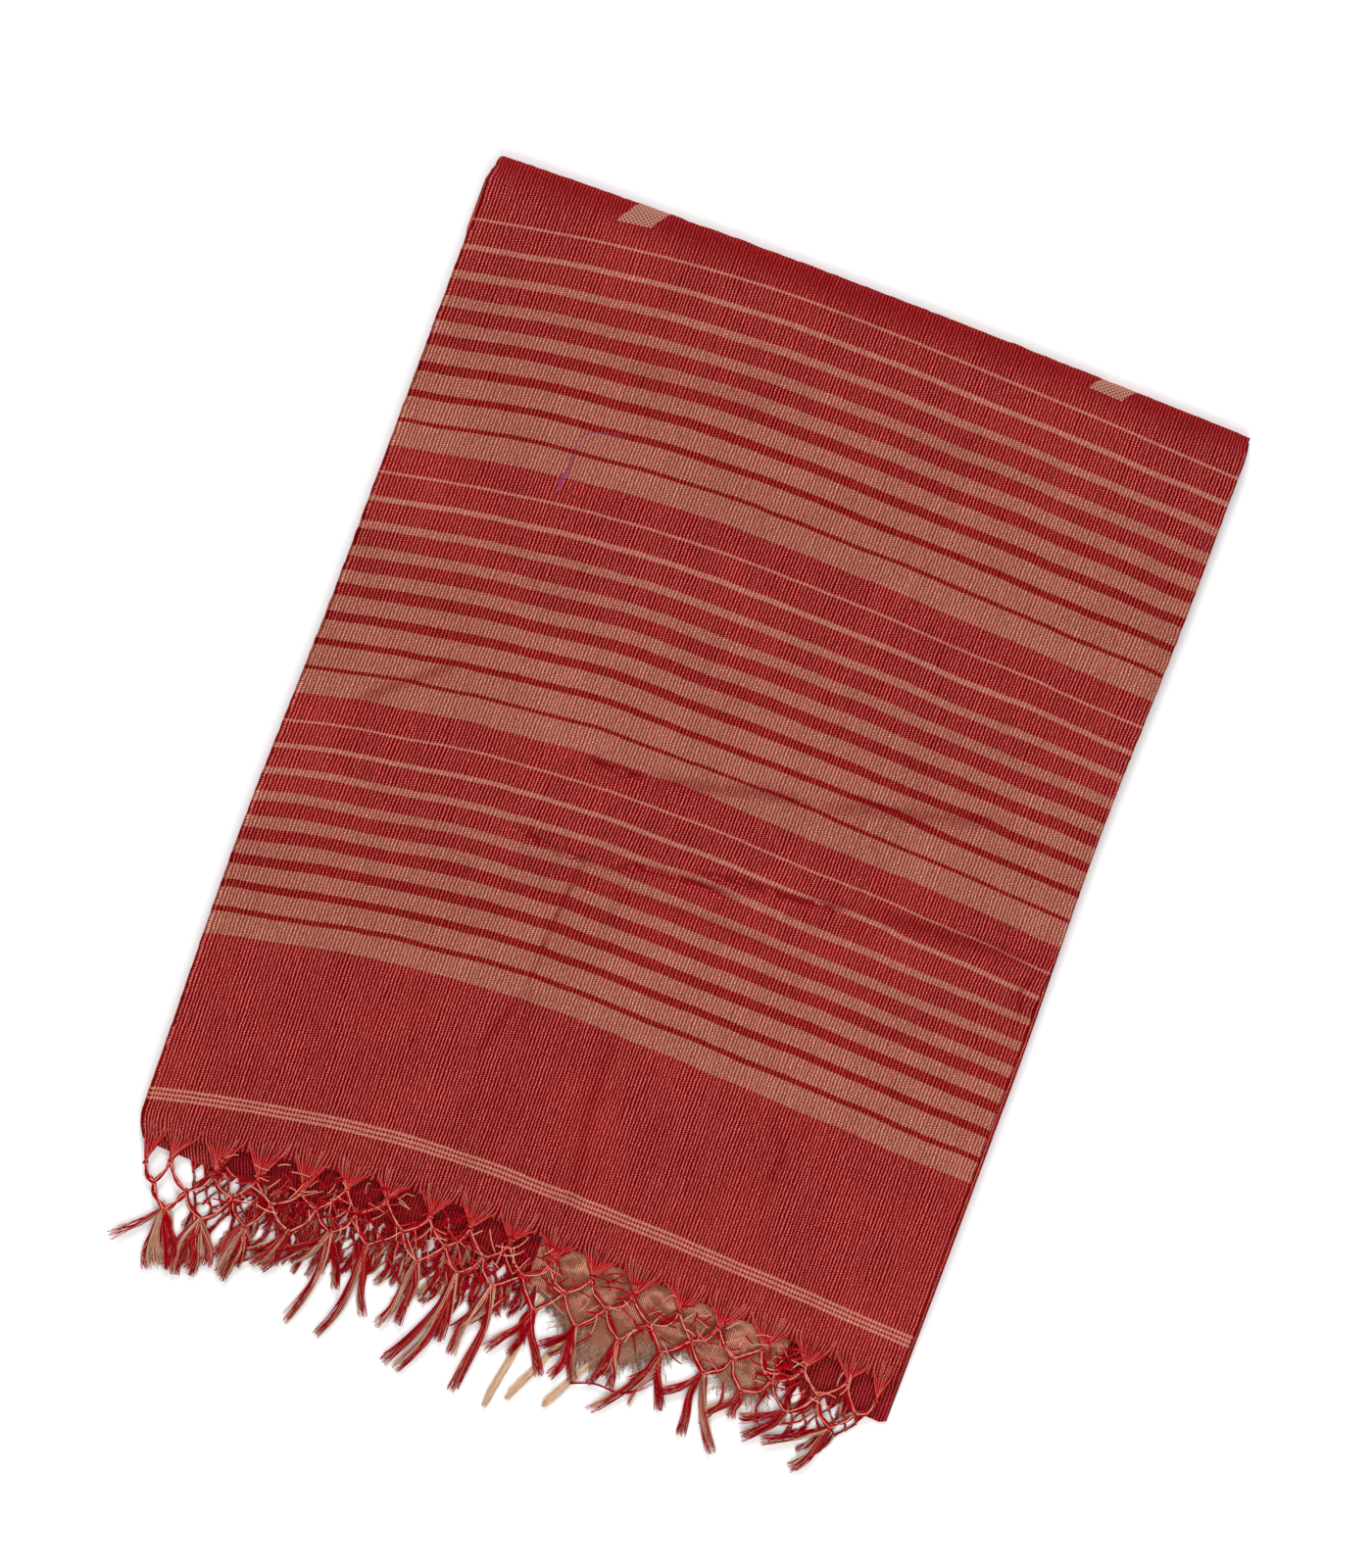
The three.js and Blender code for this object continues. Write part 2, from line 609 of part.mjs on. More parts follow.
const sari = new THREE.Group();
sari.add(cloth('folded_body', foldedBody(), 0x8c1d20, 0.9));
sari.add(cloth('end_piece_lower', endPieceLower(), 0x962426, 0.9));
sari.add(cloth('end_piece_upper', endPieceUpper(), 0xa03634, 0.85));
sari.add(cloth('plain_end', plainEnd(), 0xab8266, 0.9));
sari.add(cloth('fringe_upper', fringeUpper(), 0xa51c28, 0.8));
LOWER_NET.forEach((net, i) => {
  sari.add(cloth(['fringe_lower_left', 'fringe_lower_right'][i], fringeLower(net), 0x7d2826, 0.85));
});
sari.add(cloth('fringe_plain_end', fringePlainEnd(), 0xb0906c, 0.85));

// Stand the part on z = 0 with its box centred on the origin.
const box = new THREE.Box3().setFromObject(sari, true);
sari.position.set(-(box.min.x + box.max.x) / 2, -(box.min.y + box.max.y) / 2, -box.min.z);

export default sari;
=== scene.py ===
"""A handloom cotton sari, folded lengthwise and crosswise, with its knotted fringe spread out.

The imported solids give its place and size. This script lays the visible cloth and yarn on them.
Cloth places are in millimetres: u runs across from the left edge and v down from the top fold. Near the
end of the weave a place is also given by its drop, the distance past that end.
"""

import math
import random

import bpy
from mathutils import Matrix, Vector, noise


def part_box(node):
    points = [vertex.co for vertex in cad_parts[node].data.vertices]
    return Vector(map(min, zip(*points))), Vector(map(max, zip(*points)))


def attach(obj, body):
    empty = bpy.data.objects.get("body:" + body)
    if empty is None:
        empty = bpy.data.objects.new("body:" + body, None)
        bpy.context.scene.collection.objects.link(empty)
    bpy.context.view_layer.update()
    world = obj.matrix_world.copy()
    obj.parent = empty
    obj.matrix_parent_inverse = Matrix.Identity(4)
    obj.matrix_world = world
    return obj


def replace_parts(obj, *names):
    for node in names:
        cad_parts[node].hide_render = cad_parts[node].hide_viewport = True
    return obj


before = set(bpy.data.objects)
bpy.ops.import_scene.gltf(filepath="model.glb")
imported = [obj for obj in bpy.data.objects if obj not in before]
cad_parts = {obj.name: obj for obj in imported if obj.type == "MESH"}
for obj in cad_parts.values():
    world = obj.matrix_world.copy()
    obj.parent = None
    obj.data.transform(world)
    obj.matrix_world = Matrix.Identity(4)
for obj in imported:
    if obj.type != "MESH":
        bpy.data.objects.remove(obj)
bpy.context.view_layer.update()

bl_info = {
    "name": "Folded Cotton Sari",
    "version": (1, 0, 0),
    "blender": (4, 5, 0),
    "location": "3D View > Sidebar > Sari",
    "description": "Builds a folded handloom sari with a striped end piece and a knotted fringe",
    "category": "Add Mesh",
}

# ---- driving sizes, in millimetres ----

MM = 0.001
FOLDED_WIDTH = 586.0
PANEL_LENGTH = 726.0  # top fold to the end of the weave, where the weft bows furthest up
STACK_HEIGHT = 11.9
FOLD_RADIUS = STACK_HEIGHT / 2
PLY = 1.0  # wall of one solid ply; the visible cloth is thinner
GAP = 0.3
TUCK_LENGTH = 34.0  # cloth turned under the bundle at the top fold
LIP_DROP = 4.2  # how far the lengthwise fold turns down at the left edge
LIP_RADIUS = 3.2

BOW = {"crown": 257.0, "left": 35.7, "left_power": 1.8, "right": 12.7, "right_power": 1.5, "top": 29.0}
FOLD_BOW = {"left": 3.2, "right": 0.7, "rise": 4.4, "power": 0.85}
LEFT_SWELL = {"v": 527.0, "reach": 210.0, "amount": 3.5}
RIGHT_WAIST = {"v": 310.0, "reach": 190.0, "amount": 3.2, "margin": 2.6}
CORNER_CUT = {"length": 26.0, "amount": 8.5}
SET_BACK = {"v": 400.0, "reach": 45.0, "amount": 3.6}
UPPER_SINK = {"start": -70.0, "length": 85.0, "depth": 6.2}
LOWER_SINK = {"start": -120.0, "length": 148.0, "depth": 9.0}
LOWER_TOP = STACK_HEIGHT - PLY - GAP
LOWER_HEM = {"drop": 28.0, "rise": 30.0, "reach": 180.0}  # its left end rises towards the upper hem
LOWER_HEAD = 40.0  # where the lower half starts, hidden below the top fold
BODY_TOP = LOWER_TOP - PLY - GAP
BODY_END_DROP = -4.0
PLAIN_END = {"left": 316.0, "right": 503.0, "head": -55.0, "hem": 39.0, "sink": 1.1}
FLAP = {"u": 374.0, "reach": 46.0, "length": 21.0}  # where the plain end's edge hangs lower

# The largest creases, as in the solids: a soft ridge along each line.
# u0, v0, u1, v1, height, reach
RIDGES = (
    (185, 392, 345, 372, 1.0, 20),
    (345, 372, 513, 327, 1.5, 22),
    (185, 453, 300, 455, 1.2, 18),
    (300, 445, 470, 424, 1.6, 20),
    (240, 445, 231, 590, 0.9, 16),
    (303, 565, 314, 700, 0.8, 18),
    (43, 406, 107, 353, 0.8, 18),
)

# Finer pressed lines and troughs: points along the line, depth, half width, and how much painted shade
# darkens them.
TROUGHS = (
    {"line": ((214, 386), (240, 387.5), (262, 385)), "depth": 1.7, "reach": 4.5, "painted_shade": 0.95},
    {"line": ((262, 385), (318, 374), (349, 364.5), (380, 362)), "depth": 0.9, "reach": 9, "painted_shade": 0.5},
    {"line": ((347, 365), (380, 362.5)), "depth": 1.3, "reach": 3.5, "painted_shade": 0.85},
    {"line": ((405, 347.5), (449, 343.5)), "depth": 1.3, "reach": 3.5, "painted_shade": 0.8},
    {"line": ((380, 362), (449, 343.5), (520, 326)), "depth": 0.8, "reach": 10, "painted_shade": 0.45},
    {"line": ((185, 451), (217, 457.5), (250, 457)), "depth": 1.7, "reach": 4, "painted_shade": 0.8},
    {"line": ((257, 457), (278, 448), (321, 444), (353, 444)), "depth": 1.8, "reach": 4.5, "painted_shade": 0.9},
    {"line": ((312, 439), (349, 432.5), (399, 430), (442, 421)), "depth": 1.6, "reach": 5, "painted_shade": 0.85},
    {"line": ((442, 421), (510, 417), (578, 414)), "depth": 0.9, "reach": 10, "painted_shade": 0.55},
    {"line": ((577, 421), (570, 436), (576, 456)), "depth": 1.0, "reach": 3.5, "painted_shade": 0.7},
    {"line": ((240, 458), (236, 484), (233, 528), (232, 564)), "depth": 0.9, "reach": 2.8, "painted_shade": 0.8},
    {"line": ((232, 564), (223, 588), (215, 618)), "depth": 0.6, "reach": 5, "painted_shade": 0.5},
    {"line": ((304, 569), (306, 620), (315, 674), (315, 702)), "depth": 1.0, "reach": 8, "painted_shade": 0.35},
    {"line": ((43, 406), (80, 375), (107, 353)), "depth": 0.8, "reach": 7, "painted_shade": 0.45},
    {"line": ((120, 118), (180, 104), (250, 101)), "depth": 0.4, "reach": 9, "painted_shade": 0.15},
    {"line": ((390, 215), (470, 222), (556, 246)), "depth": 0.4, "reach": 10, "painted_shade": 0.15},
    {"line": ((436, 588), (452, 610), (446, 632)), "depth": 0.7, "reach": 6, "painted_shade": 0.4},
    {"line": ((285, 470), (330, 466), (400, 470)), "depth": 0.6, "reach": 6, "painted_shade": 0.3},
)

# The bunches of warp ends: u and drop of each first knot.
BUNCHES = (
    (16, 17), (33, 14), (66, 20), (97, 18), (131, 20), (161, 10), (191, 11.5), (225, 14), (255, 11.5),
    (286, 12.5), (319, 16), (351, 13.5), (384, 14), (419, 11.5), (450, 10.5), (485, 13), (519, 14),
    (552, 10.5), (576, 15),
)
ROW_STEPS = (16.0, 18.0)  # how far the second and the third row of knots hang below the one before
NET_HEIGHT = {"low": 2.5, "fall": 3.2, "length": 75.0}

# Tassels: the bunch that each hangs under, where it ends (u, drop), how far it bellies sideways, how many
# threads it has and what share of them is tan.
TASSELS = (
    (0, 9, 75, 2, 9, 0.3), (1, 43, 97, -3, 22, 0.6), (1, 54, 95, 2, 18, 0.3), (2, 65, 98, -3, 20, 0.55),
    (1, 49, 93, -1, 20, 0.4), (1, 58, 88, 4, 18, 0.5), (2, 60, 96, -5, 20, 0.3),
    (2, 70, 92, 0, 18, 0.5), (2, 84, 88, 4, 20, 0.3), (3, 92, 92, 1, 20, 0.5), (3, 104, 84, 4, 18, 0.2),
    (3, 87, 80, -2, 16, 0.6), (1, 52, 80, 3, 20, 0.1), (2, 62, 86, 2, 20, 0.1),
    (2, 78, 84, -4, 20, 0.2), (3, 96, 76, 5, 20, 0.1), (4, 108, 70, 6, 20, 0.1),
    (5, 128, 66, 8, 20, 0.1), (5, 140, 72, 4, 18, 0.4), (4, 132, 78, -2, 18, 0.6),
    (9, 268, 86, 4, 20, 0.1), (10, 318, 78, -3, 18, 0.2), (11, 330, 74, 4, 18, 0.1),
    (12, 380, 76, 4, 20, 0.1), (13, 402, 74, 5, 20, 0.2), (14, 424, 72, 5, 18, 0.3),
    (15, 460, 74, 3, 18, 0.2), (16, 486, 66, 3, 16, 0.2), (2, 76, 97, 3, 20, 0.2),
    (3, 98, 96, 4, 22, 0.15), (4, 113, 80, 3, 20, 0.2), (4, 121, 82, 4, 18, 0.3),
    (5, 150, 116, 6, 14, 0.3), (5, 178, 84, 2, 18, 0.2), (6, 176, 121, 6, 16, 0.15),
    (6, 204, 98, -2, 18, 0.3), (7, 214, 103, 3, 18, 0.3), (7, 229, 96, 3, 18, 0.2),
    (8, 228, 125, 7, 22, 0.4), (8, 261, 98, 2, 18, 0.2), (8, 238, 128, 9, 18, 0.3),
    (9, 273, 104, -3, 18, 0.2), (9, 283, 129, 5, 22, 0.3), (10, 295, 91, 3, 16, 0.2),
    (10, 311, 88, 4, 16, 0.2), (10, 340, 94, -3, 18, 0.1), (11, 346, 92, 4, 18, 0.1),
    (11, 363, 88, -2, 16, 0.2), (12, 373, 86, 2, 20, 0.1), (12, 389, 83, 1, 18, 0.2),
    (13, 431, 84, -2, 24, 0.1), (13, 381, 105, 6, 18, 0.5), (14, 451, 95, -3, 24, 0.3),
    (14, 477, 98, -4, 26, 0.4), (15, 481, 69, 1, 14, 0.2), (16, 492, 78, 4, 18, 0.4),
    (17, 507, 75, 3, 14, 0.3), (17, 533, 86, 4, 16, 0.2),
)
TASSEL = {"level": 3.0, "tip": 1.65, "from": 95.0, "length": 30.0, "fullness": 1.7, "tan": 0.75}
TASSEL_THREADS = {"spread": 2.6, "thickness": 1.05, "twist": 0.35, "end_spread": 1.65, "fray": 0.24}
TASSEL_PALE_THREADS = {
    "count": 5, "spread": 2.2, "thickness": 0.7, "twist": 0.6, "end_spread": 1.9, "fray": 0.3,
}

# Loose wisps and crossings of a few threads: (u, drop) at each bend, half their threads, share of tan.
WISPS = (
    (((362, 90), (380, 83), (402, 82), (421, 66)), 3, 0.1),
    (((150, 55), (136, 70), (118, 79)), 7, 0.6),
    (((205, 50), (222, 68), (232, 82)), 6, 0.3),
    (((92, 60), (83, 78), (70, 92)), 8, 0.7),
    (((128, 62), (112, 76), (96, 84)), 7, 0.5),
    (((249, 48), (258, 70), (250, 92)), 6, 0.4),
    (((299, 47), (287, 66), (276, 80)), 7, 0.4),
    (((365, 52), (352, 66), (340, 78)), 6, 0.2),
    (((420, 60), (410, 76), (408, 90)), 6, 0.3),
    (((468, 46), (470, 62), (460, 82)), 6, 0.3),
    (((500, 40), (496, 56), (504, 70)), 5, 0.3),
    (((536, 36), (548, 44), (562, 36)), 5, 0.4),
    (((540, 34), (528, 52), (510, 60)), 6, 0.6),
    (((38, 44), (50, 60), (46, 80)), 8, 0.7),
    (((60, 46), (66, 66), (58, 90)), 8, 0.6),
    (((170, 44), (160, 60), (166, 76)), 6, 0.3),
)
WISP = {"spread": 1.1, "thickness": 0.95, "twist": 0.6, "end_spread": 1.6, "fray": 0.2}

# The lower half's own net, left and right: its reach, pitch, rows of knots and their step, half width of a
# leg, and how many short tufts it has, between which two places.
LOWER_NET = (
    {
        "from": 46, "to": 306, "pitch": 9.3, "rows": 3, "step": 7.5, "leg": 1.0,
        "tufts": 125, "tufted": (96, 316),
    },
    {
        "from": 508, "to": 574, "pitch": 11, "rows": 2, "step": 8, "leg": 0.8,
        "tufts": 5, "tufted": (512, 560),
    },
)
ENDS_IN_BUNCH = 13  # warp ends gathered into each knot of the lower net
PALE_EVERY = 6  # one of so many of them is pale
LOWER_TASSEL = {"count": 16, "spread": 1.5, "thickness": 1.0, "end_spread": 1.9, "fray": 0.3}
LOWER_TUFT = {"count": 18, "spread": 1.9, "thickness": 1.0, "end_spread": 1.6, "fray": 0.35}

# Ends worked loose from the net: whether they are red, first and last u, and how many for each one asked
# for in the sizes.
LOOSE_ENDS = (
    (False, 60, 345, 0.6), (False, 345, 486, 0.2), (False, 480, 560, 0.15),
    (True, 60, 345, 1.4), (True, 345, 486, 0.4), (True, 486, 512, 0.35),
)

# Loose tan locks on the plain end: root u, tip u, tip drop.
PLAIN_LOCKS = ((322, 309, 130), (352, 323, 118), (376, 350, 113))

# Loose fluff of the plain end: middle, half width, longest thread, count, how dull its dullest thread is;
# its darkness is partly its own grey-brown and partly painted shade.
PLAIN_FLUFF = (
    (366, 40, 23, 760, -0.9), (404, 24, 24, 420, -0.9), (445, 30, 9, 140, -0.2), (482, 20, 25, 240, -0.2),
)

# Weft stripes: each group has nine, the k-th k units wide, on an even pitch from its start.
STRIPE_GROUPS = (
    {"start": 17.5, "pitch": 19.53, "unit": 2.05},
    {"start": 211.4, "pitch": 19.11, "unit": 2.03},
    {"start": 402.1, "pitch": 18.63, "unit": 1.82},
)
STRIPES_IN_GROUP = 9
FINE_LINES = {"starts": (685.9, 689.5, 693.0), "width": 2.2}
MOTIF_STARTS = (98.4, 461.5)
MOTIF = {"width": 26.0, "lean": 0.72, "hem": 0.3, "length": 33.0, "row": 1.45, "dash": 3.3}
FOLD_FADE = 24.0  # how far down from the top fold the painted shade of the fold reaches and the pale warp lines take to show

# A loose thread lying on the cloth: u and v at each bend.
LOOSE_THREAD = (
    (128.6, 212), (127.2, 206.5), (127.4, 201.5), (129.6, 194), (129.8, 182.5), (129, 171), (134, 164.3),
    (141.9, 161.6), (151.9, 158.6), (160.4, 159),
)


def srgb(red, green, blue):
    """A colour given in screen values from 0 to 255, as Blender's own linear values."""

    def linear(value):
        share = value / 255
        return share / 12.92 if share <= 0.04045 else ((share + 0.055) / 1.055) ** 2.4

    return (linear(red), linear(green), linear(blue), 1.0)


# ---- what a user would change ----


def colour_property(name, description, default):
    return bpy.props.FloatVectorProperty(
        name=name, description=description, subtype="COLOR", size=4, min=0, max=1, default=default
    )


def length_property(name, description, default):
    return bpy.props.FloatProperty(
        name=name, description=description, default=default, min=0, unit="LENGTH", precision=5
    )


class SariSizes(bpy.types.PropertyGroup):
    """Sizes of the cloth and its yarn."""

    cloth_thickness: length_property("Cloth thickness", "Thickness of the visible cloth", 0.0006)
    line_pitch: length_property("Line pitch", "Distance between two pale warp lines", 0.00246)
    bead_pitch: length_property("Bead pitch", "Distance between two beads of a warp line", 0.0017)
    yarn_radius: length_property("Yarn radius", "Radius of one fringe yarn", 0.00036)
    leg_radius: length_property("Leg radius", "Radius of one leg of the knotted net", 0.0016)
    ply_count: bpy.props.IntProperty(
        name="Plies", description="Plies that show at the edges of the folded bundle", default=16, min=2
    )
    loose_ends: bpy.props.IntProperty(
        name="Loose ends", description="Loose ends that cross the knotted net", default=120, min=0
    )
    seed: bpy.props.IntProperty(name="Seed", description="Seed of the unevenness of the yarn", default=7)


class SariColours(bpy.types.PropertyGroup):
    """Colours of the cloth and its yarn."""

    ground: colour_property("Ground", "Red of the warp and weft", srgb(97, 0, 1))
    line: colour_property("Warp line", "Pale warp lines on the red ground", srgb(255, 124, 120))
    # Painted shade: the fold crimson is darker than the ground and stands in for the shade where the cloth
    # rounds over the top fold.
    fold: colour_property("Fold", "Crimson of the cloth along the top fold", srgb(122, 5, 13))
    stripe: colour_property("Stripe", "Tan weft of the stripes", srgb(123, 51, 38))
    stripe_line: colour_property("Stripe line", "Warp lines on the tan stripes", srgb(240, 171, 153))
    tan: colour_property("Tan yarn", "Tan yarn of the fringe and the plain end", srgb(206, 170, 138))
    crimson: colour_property("Red yarn", "Red yarn of the fringe", srgb(172, 1, 20))
    salmon: colour_property("Pale yarn", "Pale warp ends of the fringe", srgb(236, 134, 118))
    thread: colour_property("Loose thread", "Purple of the loose thread", srgb(160, 18, 96))


# ---- cloth lines and heights ----


def smooth(share):
    share = min(max(share, 0.0), 1.0)
    return share * share * (3 - 2 * share)


def smooth_inverse(value):
    """The share at which smooth(share) reaches value."""
    return 0.5 - math.sin(math.asin(1 - 2 * value) / 3)


def lerp(start, end, share):
    return start + (end - start) * share


def clamp(value, low, high):
    return min(max(value, low), high)


def swell(v, bump):
    return bump["amount"] * smooth(1 - abs(v - bump["v"]) / bump["reach"])


def bow(u, left):
    """How far the weft has bowed down at u, where left is its bow at the left edge."""
    if u < BOW["crown"]:
        return left * ((BOW["crown"] - u) / BOW["crown"]) ** BOW["left_power"]
    share = (u - BOW["crown"]) / (FOLDED_WIDTH - BOW["crown"])
    return BOW["right"] * share ** BOW["right_power"]


def hem(u):
    return PANEL_LENGTH + bow(u, BOW["left"])


def weft_place(u, v):
    """The place of a weft pick: the v that it has at its crown."""
    return v - bow(u, lerp(BOW["top"], BOW["left"], v / PANEL_LENGTH))


def fold_line(u):
    share = clamp(u / FOLDED_WIDTH, 0, 1)
    corners = lerp(FOLD_BOW["left"], FOLD_BOW["right"], share)
    return -corners - FOLD_BOW["rise"] * math.sin(math.pi * share ** FOLD_BOW["power"])


def left_edge(v):
    into_corner = max(0.0, v - hem(0) + CORNER_CUT["length"]) / CORNER_CUT["length"]
    return CORNER_CUT["amount"] * into_corner**2 - swell(v, LEFT_SWELL)


def right_edge(v):
    return FOLDED_WIDTH + RIGHT_WAIST["margin"] - swell(v, RIGHT_WAIST)


def upper_right_edge(v):
    return right_edge(v) - SET_BACK["amount"] * smooth((v - SET_BACK["v"]) / SET_BACK["reach"])


def lower_hem_drop(u):
    return LOWER_HEM["drop"] - LOWER_HEM["rise"] * max(0.0, 1 - u / LOWER_HEM["reach"]) ** 2


def sunk(top, sink, drop):
    return top - sink["depth"] * smooth((drop - sink["start"]) / sink["length"])


def lower_height(drop):
    return sunk(LOWER_TOP, LOWER_SINK, drop)


def plain_end_height(drop):
    past = smooth((drop - LOWER_HEM["drop"]) / (PLAIN_END["hem"] + 3 - LOWER_HEM["drop"]))
    return lower_height(min(drop, LOWER_HEM["drop"])) + PLY + GAP - PLAIN_END["sink"] * past


def flap_length(u):
    return FLAP["length"] * smooth(1 - abs(u - FLAP["u"]) / FLAP["reach"])


def body_end_drop(z):
    """Where the lower half has sunk so far that the plies below it end at height z."""
    share = clamp((LOWER_TOP - PLY - GAP - 0.1 - z) / LOWER_SINK["depth"], 0, 1)
    drop = LOWER_SINK["start"] + LOWER_SINK["length"] * smooth_inverse(share)
    return min(drop, BODY_END_DROP)


def net_height(drop):
    return NET_HEIGHT["low"] + NET_HEIGHT["fall"] * (1 - smooth(drop / NET_HEIGHT["length"]))


def ridge_height(u, v):
    height = 0.0
    for u0, v0, u1, v1, rise, reach in RIDGES:
        along_u, along_v = u1 - u0, v1 - v0
        length = math.hypot(along_u, along_v)
        along = ((u - u0) * along_u + (v - v0) * along_v) / length
        across = ((u - u0) * along_v - (v - v0) * along_u) / length
        if abs(across) > reach:
            continue
        fade = smooth(along / reach + 0.5) * smooth((length - along) / reach + 0.5)
        height = max(height, rise * fade * smooth(1 - abs(across) / reach))
    return height


def line_distance(u, v, line):
    """The distance from a place to a broken line, and how far along it that is, from 0 to 1."""
    best, best_along, passed = 1e9, 0.0, 0.0
    total = sum(math.dist(a, b) for a, b in zip(line, line[1:]))
    for start, end in zip(line, line[1:]):
        length = math.dist(start, end)
        run = (end[0] - start[0], end[1] - start[1])
        share = clamp(((u - start[0]) * run[0] + (v - start[1]) * run[1]) / length**2, 0, 1)
        distance = math.hypot(u - start[0] - share * run[0], v - start[1] - share * run[1])
        if distance < best:
            best, best_along = distance, (passed + share * length) / total
        passed += length
    return best, best_along


# How strong a fine crease is at its two ends, and how fast it gains the rest along its line.
CREASE_END = {"strength": 0.25, "gain": 5}


def crease_depth_and_shade(u, v):
    """How deep the fine creases lie at a place and how much painted shade darkens it there."""
    depth = painted_shade = 0.0
    for trough in TROUGHS:
        line, reach = trough["line"], trough["reach"]
        if not min(p[0] for p in line) - reach < u < max(p[0] for p in line) + reach:
            continue
        if not min(p[1] for p in line) - reach < v < max(p[1] for p in line) + reach:
            continue
        distance, along = line_distance(u, v, line)
        if distance >= reach:
            continue
        gained = smooth(along * CREASE_END["gain"]) * smooth((1 - along) * CREASE_END["gain"])
        strength = smooth(1 - distance / reach) * lerp(CREASE_END["strength"], 1.0, gained)
        depth = max(depth, trough["depth"] * strength)
        painted_shade = max(painted_shade, trough["painted_shade"] * strength)
    return depth, painted_shade


def ripple(u, v, scale, amount, layer=0.0):
    """A soft unevenness of the cloth."""
    return amount * noise.noise(Vector((u / scale, v / scale, layer)))


def upper_height(u, v):
    return sunk(STACK_HEIGHT, UPPER_SINK, v - hem(u)) + ridge_height(u, v)


# ---- places in the frame ----

_lower_box = [Vector(corner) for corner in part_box("end_piece_lower")]
SHIFT_X = _lower_box[1].x / MM - (FOLDED_WIDTH / 2 + RIGHT_WAIST["margin"])
SHIFT_Y = _lower_box[1].y / MM + LOWER_HEAD


def place(u, v, z):
    return Vector((u - FOLDED_WIDTH / 2 + SHIFT_X, SHIFT_Y - v, z)) * MM


def evenly(start, end, count):
    return [start + (end - start) * i / count for i in range(count + 1)]


# ---- node trees ----


class Nodes:
    """Adds nodes to a tree."""

    def __init__(self, tree):
        self.tree = tree

    def add(self, kind, settings=None, inputs=None):
        """A node of this type, with its settings, then the values or links of its sockets."""
        node = self.tree.nodes.new(kind)
        for name, value in (settings or {}).items():
            setattr(node, name, value)
        for name, value in (inputs or {}).items():
            if isinstance(value, Number):
                value = value.socket
            if isinstance(value, bpy.types.NodeSocket):
                self.tree.links.new(value, node.inputs[name])
            else:
                node.inputs[name].default_value = value
        return node

    def number(self, socket):
        return Number(self, socket)

    def mix(self, factor, first, second, blend="MIX"):
        settings = {"data_type": "RGBA", "blend_type": blend}
        node = self.add("ShaderNodeMix", settings, {0: factor, 6: first, 7: second})
        return node.outputs[2]

    def shaded(self, colour, shade):
        """The colour made darker or lighter by a number."""
        return self.mix(1.0, colour, self.vector(shade, shade, shade), "MULTIPLY")

    def vector(self, x, y, z=0.0):
        return self.add("ShaderNodeCombineXYZ", {}, {"X": x, "Y": y, "Z": z}).outputs["Vector"]

    def noise(self, vector, scale, detail=2.0, roughness=0.5):
        inputs = {"Vector": vector, "Scale": scale, "Detail": detail, "Roughness": roughness}
        return self.number(self.add("ShaderNodeTexNoise", {}, inputs).outputs["Fac"])

    def chance(self, value):
        """A random number from 0 to 1 for each whole value."""
        node = self.add("ShaderNodeTexWhiteNoise", {"noise_dimensions": "1D"}, {"W": value})
        return self.number(node.outputs["Value"])

    def attribute(self, name):
        node = self.add("ShaderNodeAttribute", {"attribute_type": "GEOMETRY", "attribute_name": name})
        return self.number(node.outputs["Fac"])


class Number:
    """A number in a material. Arithmetic on it adds Math nodes."""

    def __init__(self, nodes, socket):
        self.nodes = nodes
        self.socket = socket

    def math(self, operation, *others):
        inputs = dict(enumerate((self, *others)))
        node = self.nodes.add("ShaderNodeMath", {"operation": operation}, inputs)
        return Number(self.nodes, node.outputs[0])

    def reflected(self, operation, other):
        """The same with this number as the second one."""
        node = self.nodes.add("ShaderNodeMath", {"operation": operation}, {0: other, 1: self})
        return Number(self.nodes, node.outputs[0])

    def __add__(self, other):
        return self.math("ADD", other)

    __radd__ = __add__

    def __sub__(self, other):
        return self.math("SUBTRACT", other)

    def __rsub__(self, other):
        return self.reflected("SUBTRACT", other)

    def __mul__(self, other):
        return self.math("MULTIPLY", other)

    __rmul__ = __mul__

    def __truediv__(self, other):
        return self.math("DIVIDE", other)

    def __rtruediv__(self, other):
        return self.reflected("DIVIDE", other)

    def __abs__(self):
        return self.math("ABSOLUTE")

    def wave(self):
        """The sine of this number of whole turns."""
        return (self * math.tau).math("SINE")

    def step(self, low, high):
        """Rises smoothly from 0 at low to 1 at high, or falls where high is the lower one."""
        inputs = {0: self, 1: low, 2: high, 3: 0.0, 4: 1.0}
        node = self.nodes.add("ShaderNodeMapRange", {"interpolation_type": "SMOOTHSTEP"}, inputs)
        return Number(self.nodes, node.outputs[0])


def new_material(name):
    material = bpy.data.materials.new(name)
    material.use_nodes = True
    material.node_tree.nodes.clear()
    return material, Nodes(material.node_tree)


BUMP_STRENGTH = 0.7


def finish_material(nodes, colour, roughness, height, bump_distance, **constants):
    """A cloth or yarn surface: what varies is linked, and the rest is set on the shader itself."""
    inputs = {"Strength": BUMP_STRENGTH, "Distance": bump_distance, "Height": height}
    bump = nodes.add("ShaderNodeBump", {}, inputs)
    sockets = {"Base Color": colour, "Roughness": roughness, "Normal": bump.outputs["Normal"]}
    shader = nodes.add("ShaderNodeBsdfPrincipled", {}, {**sockets, **constants})
    nodes.add("ShaderNodeOutputMaterial", {}, {"Surface": shader.outputs["BSDF"]})


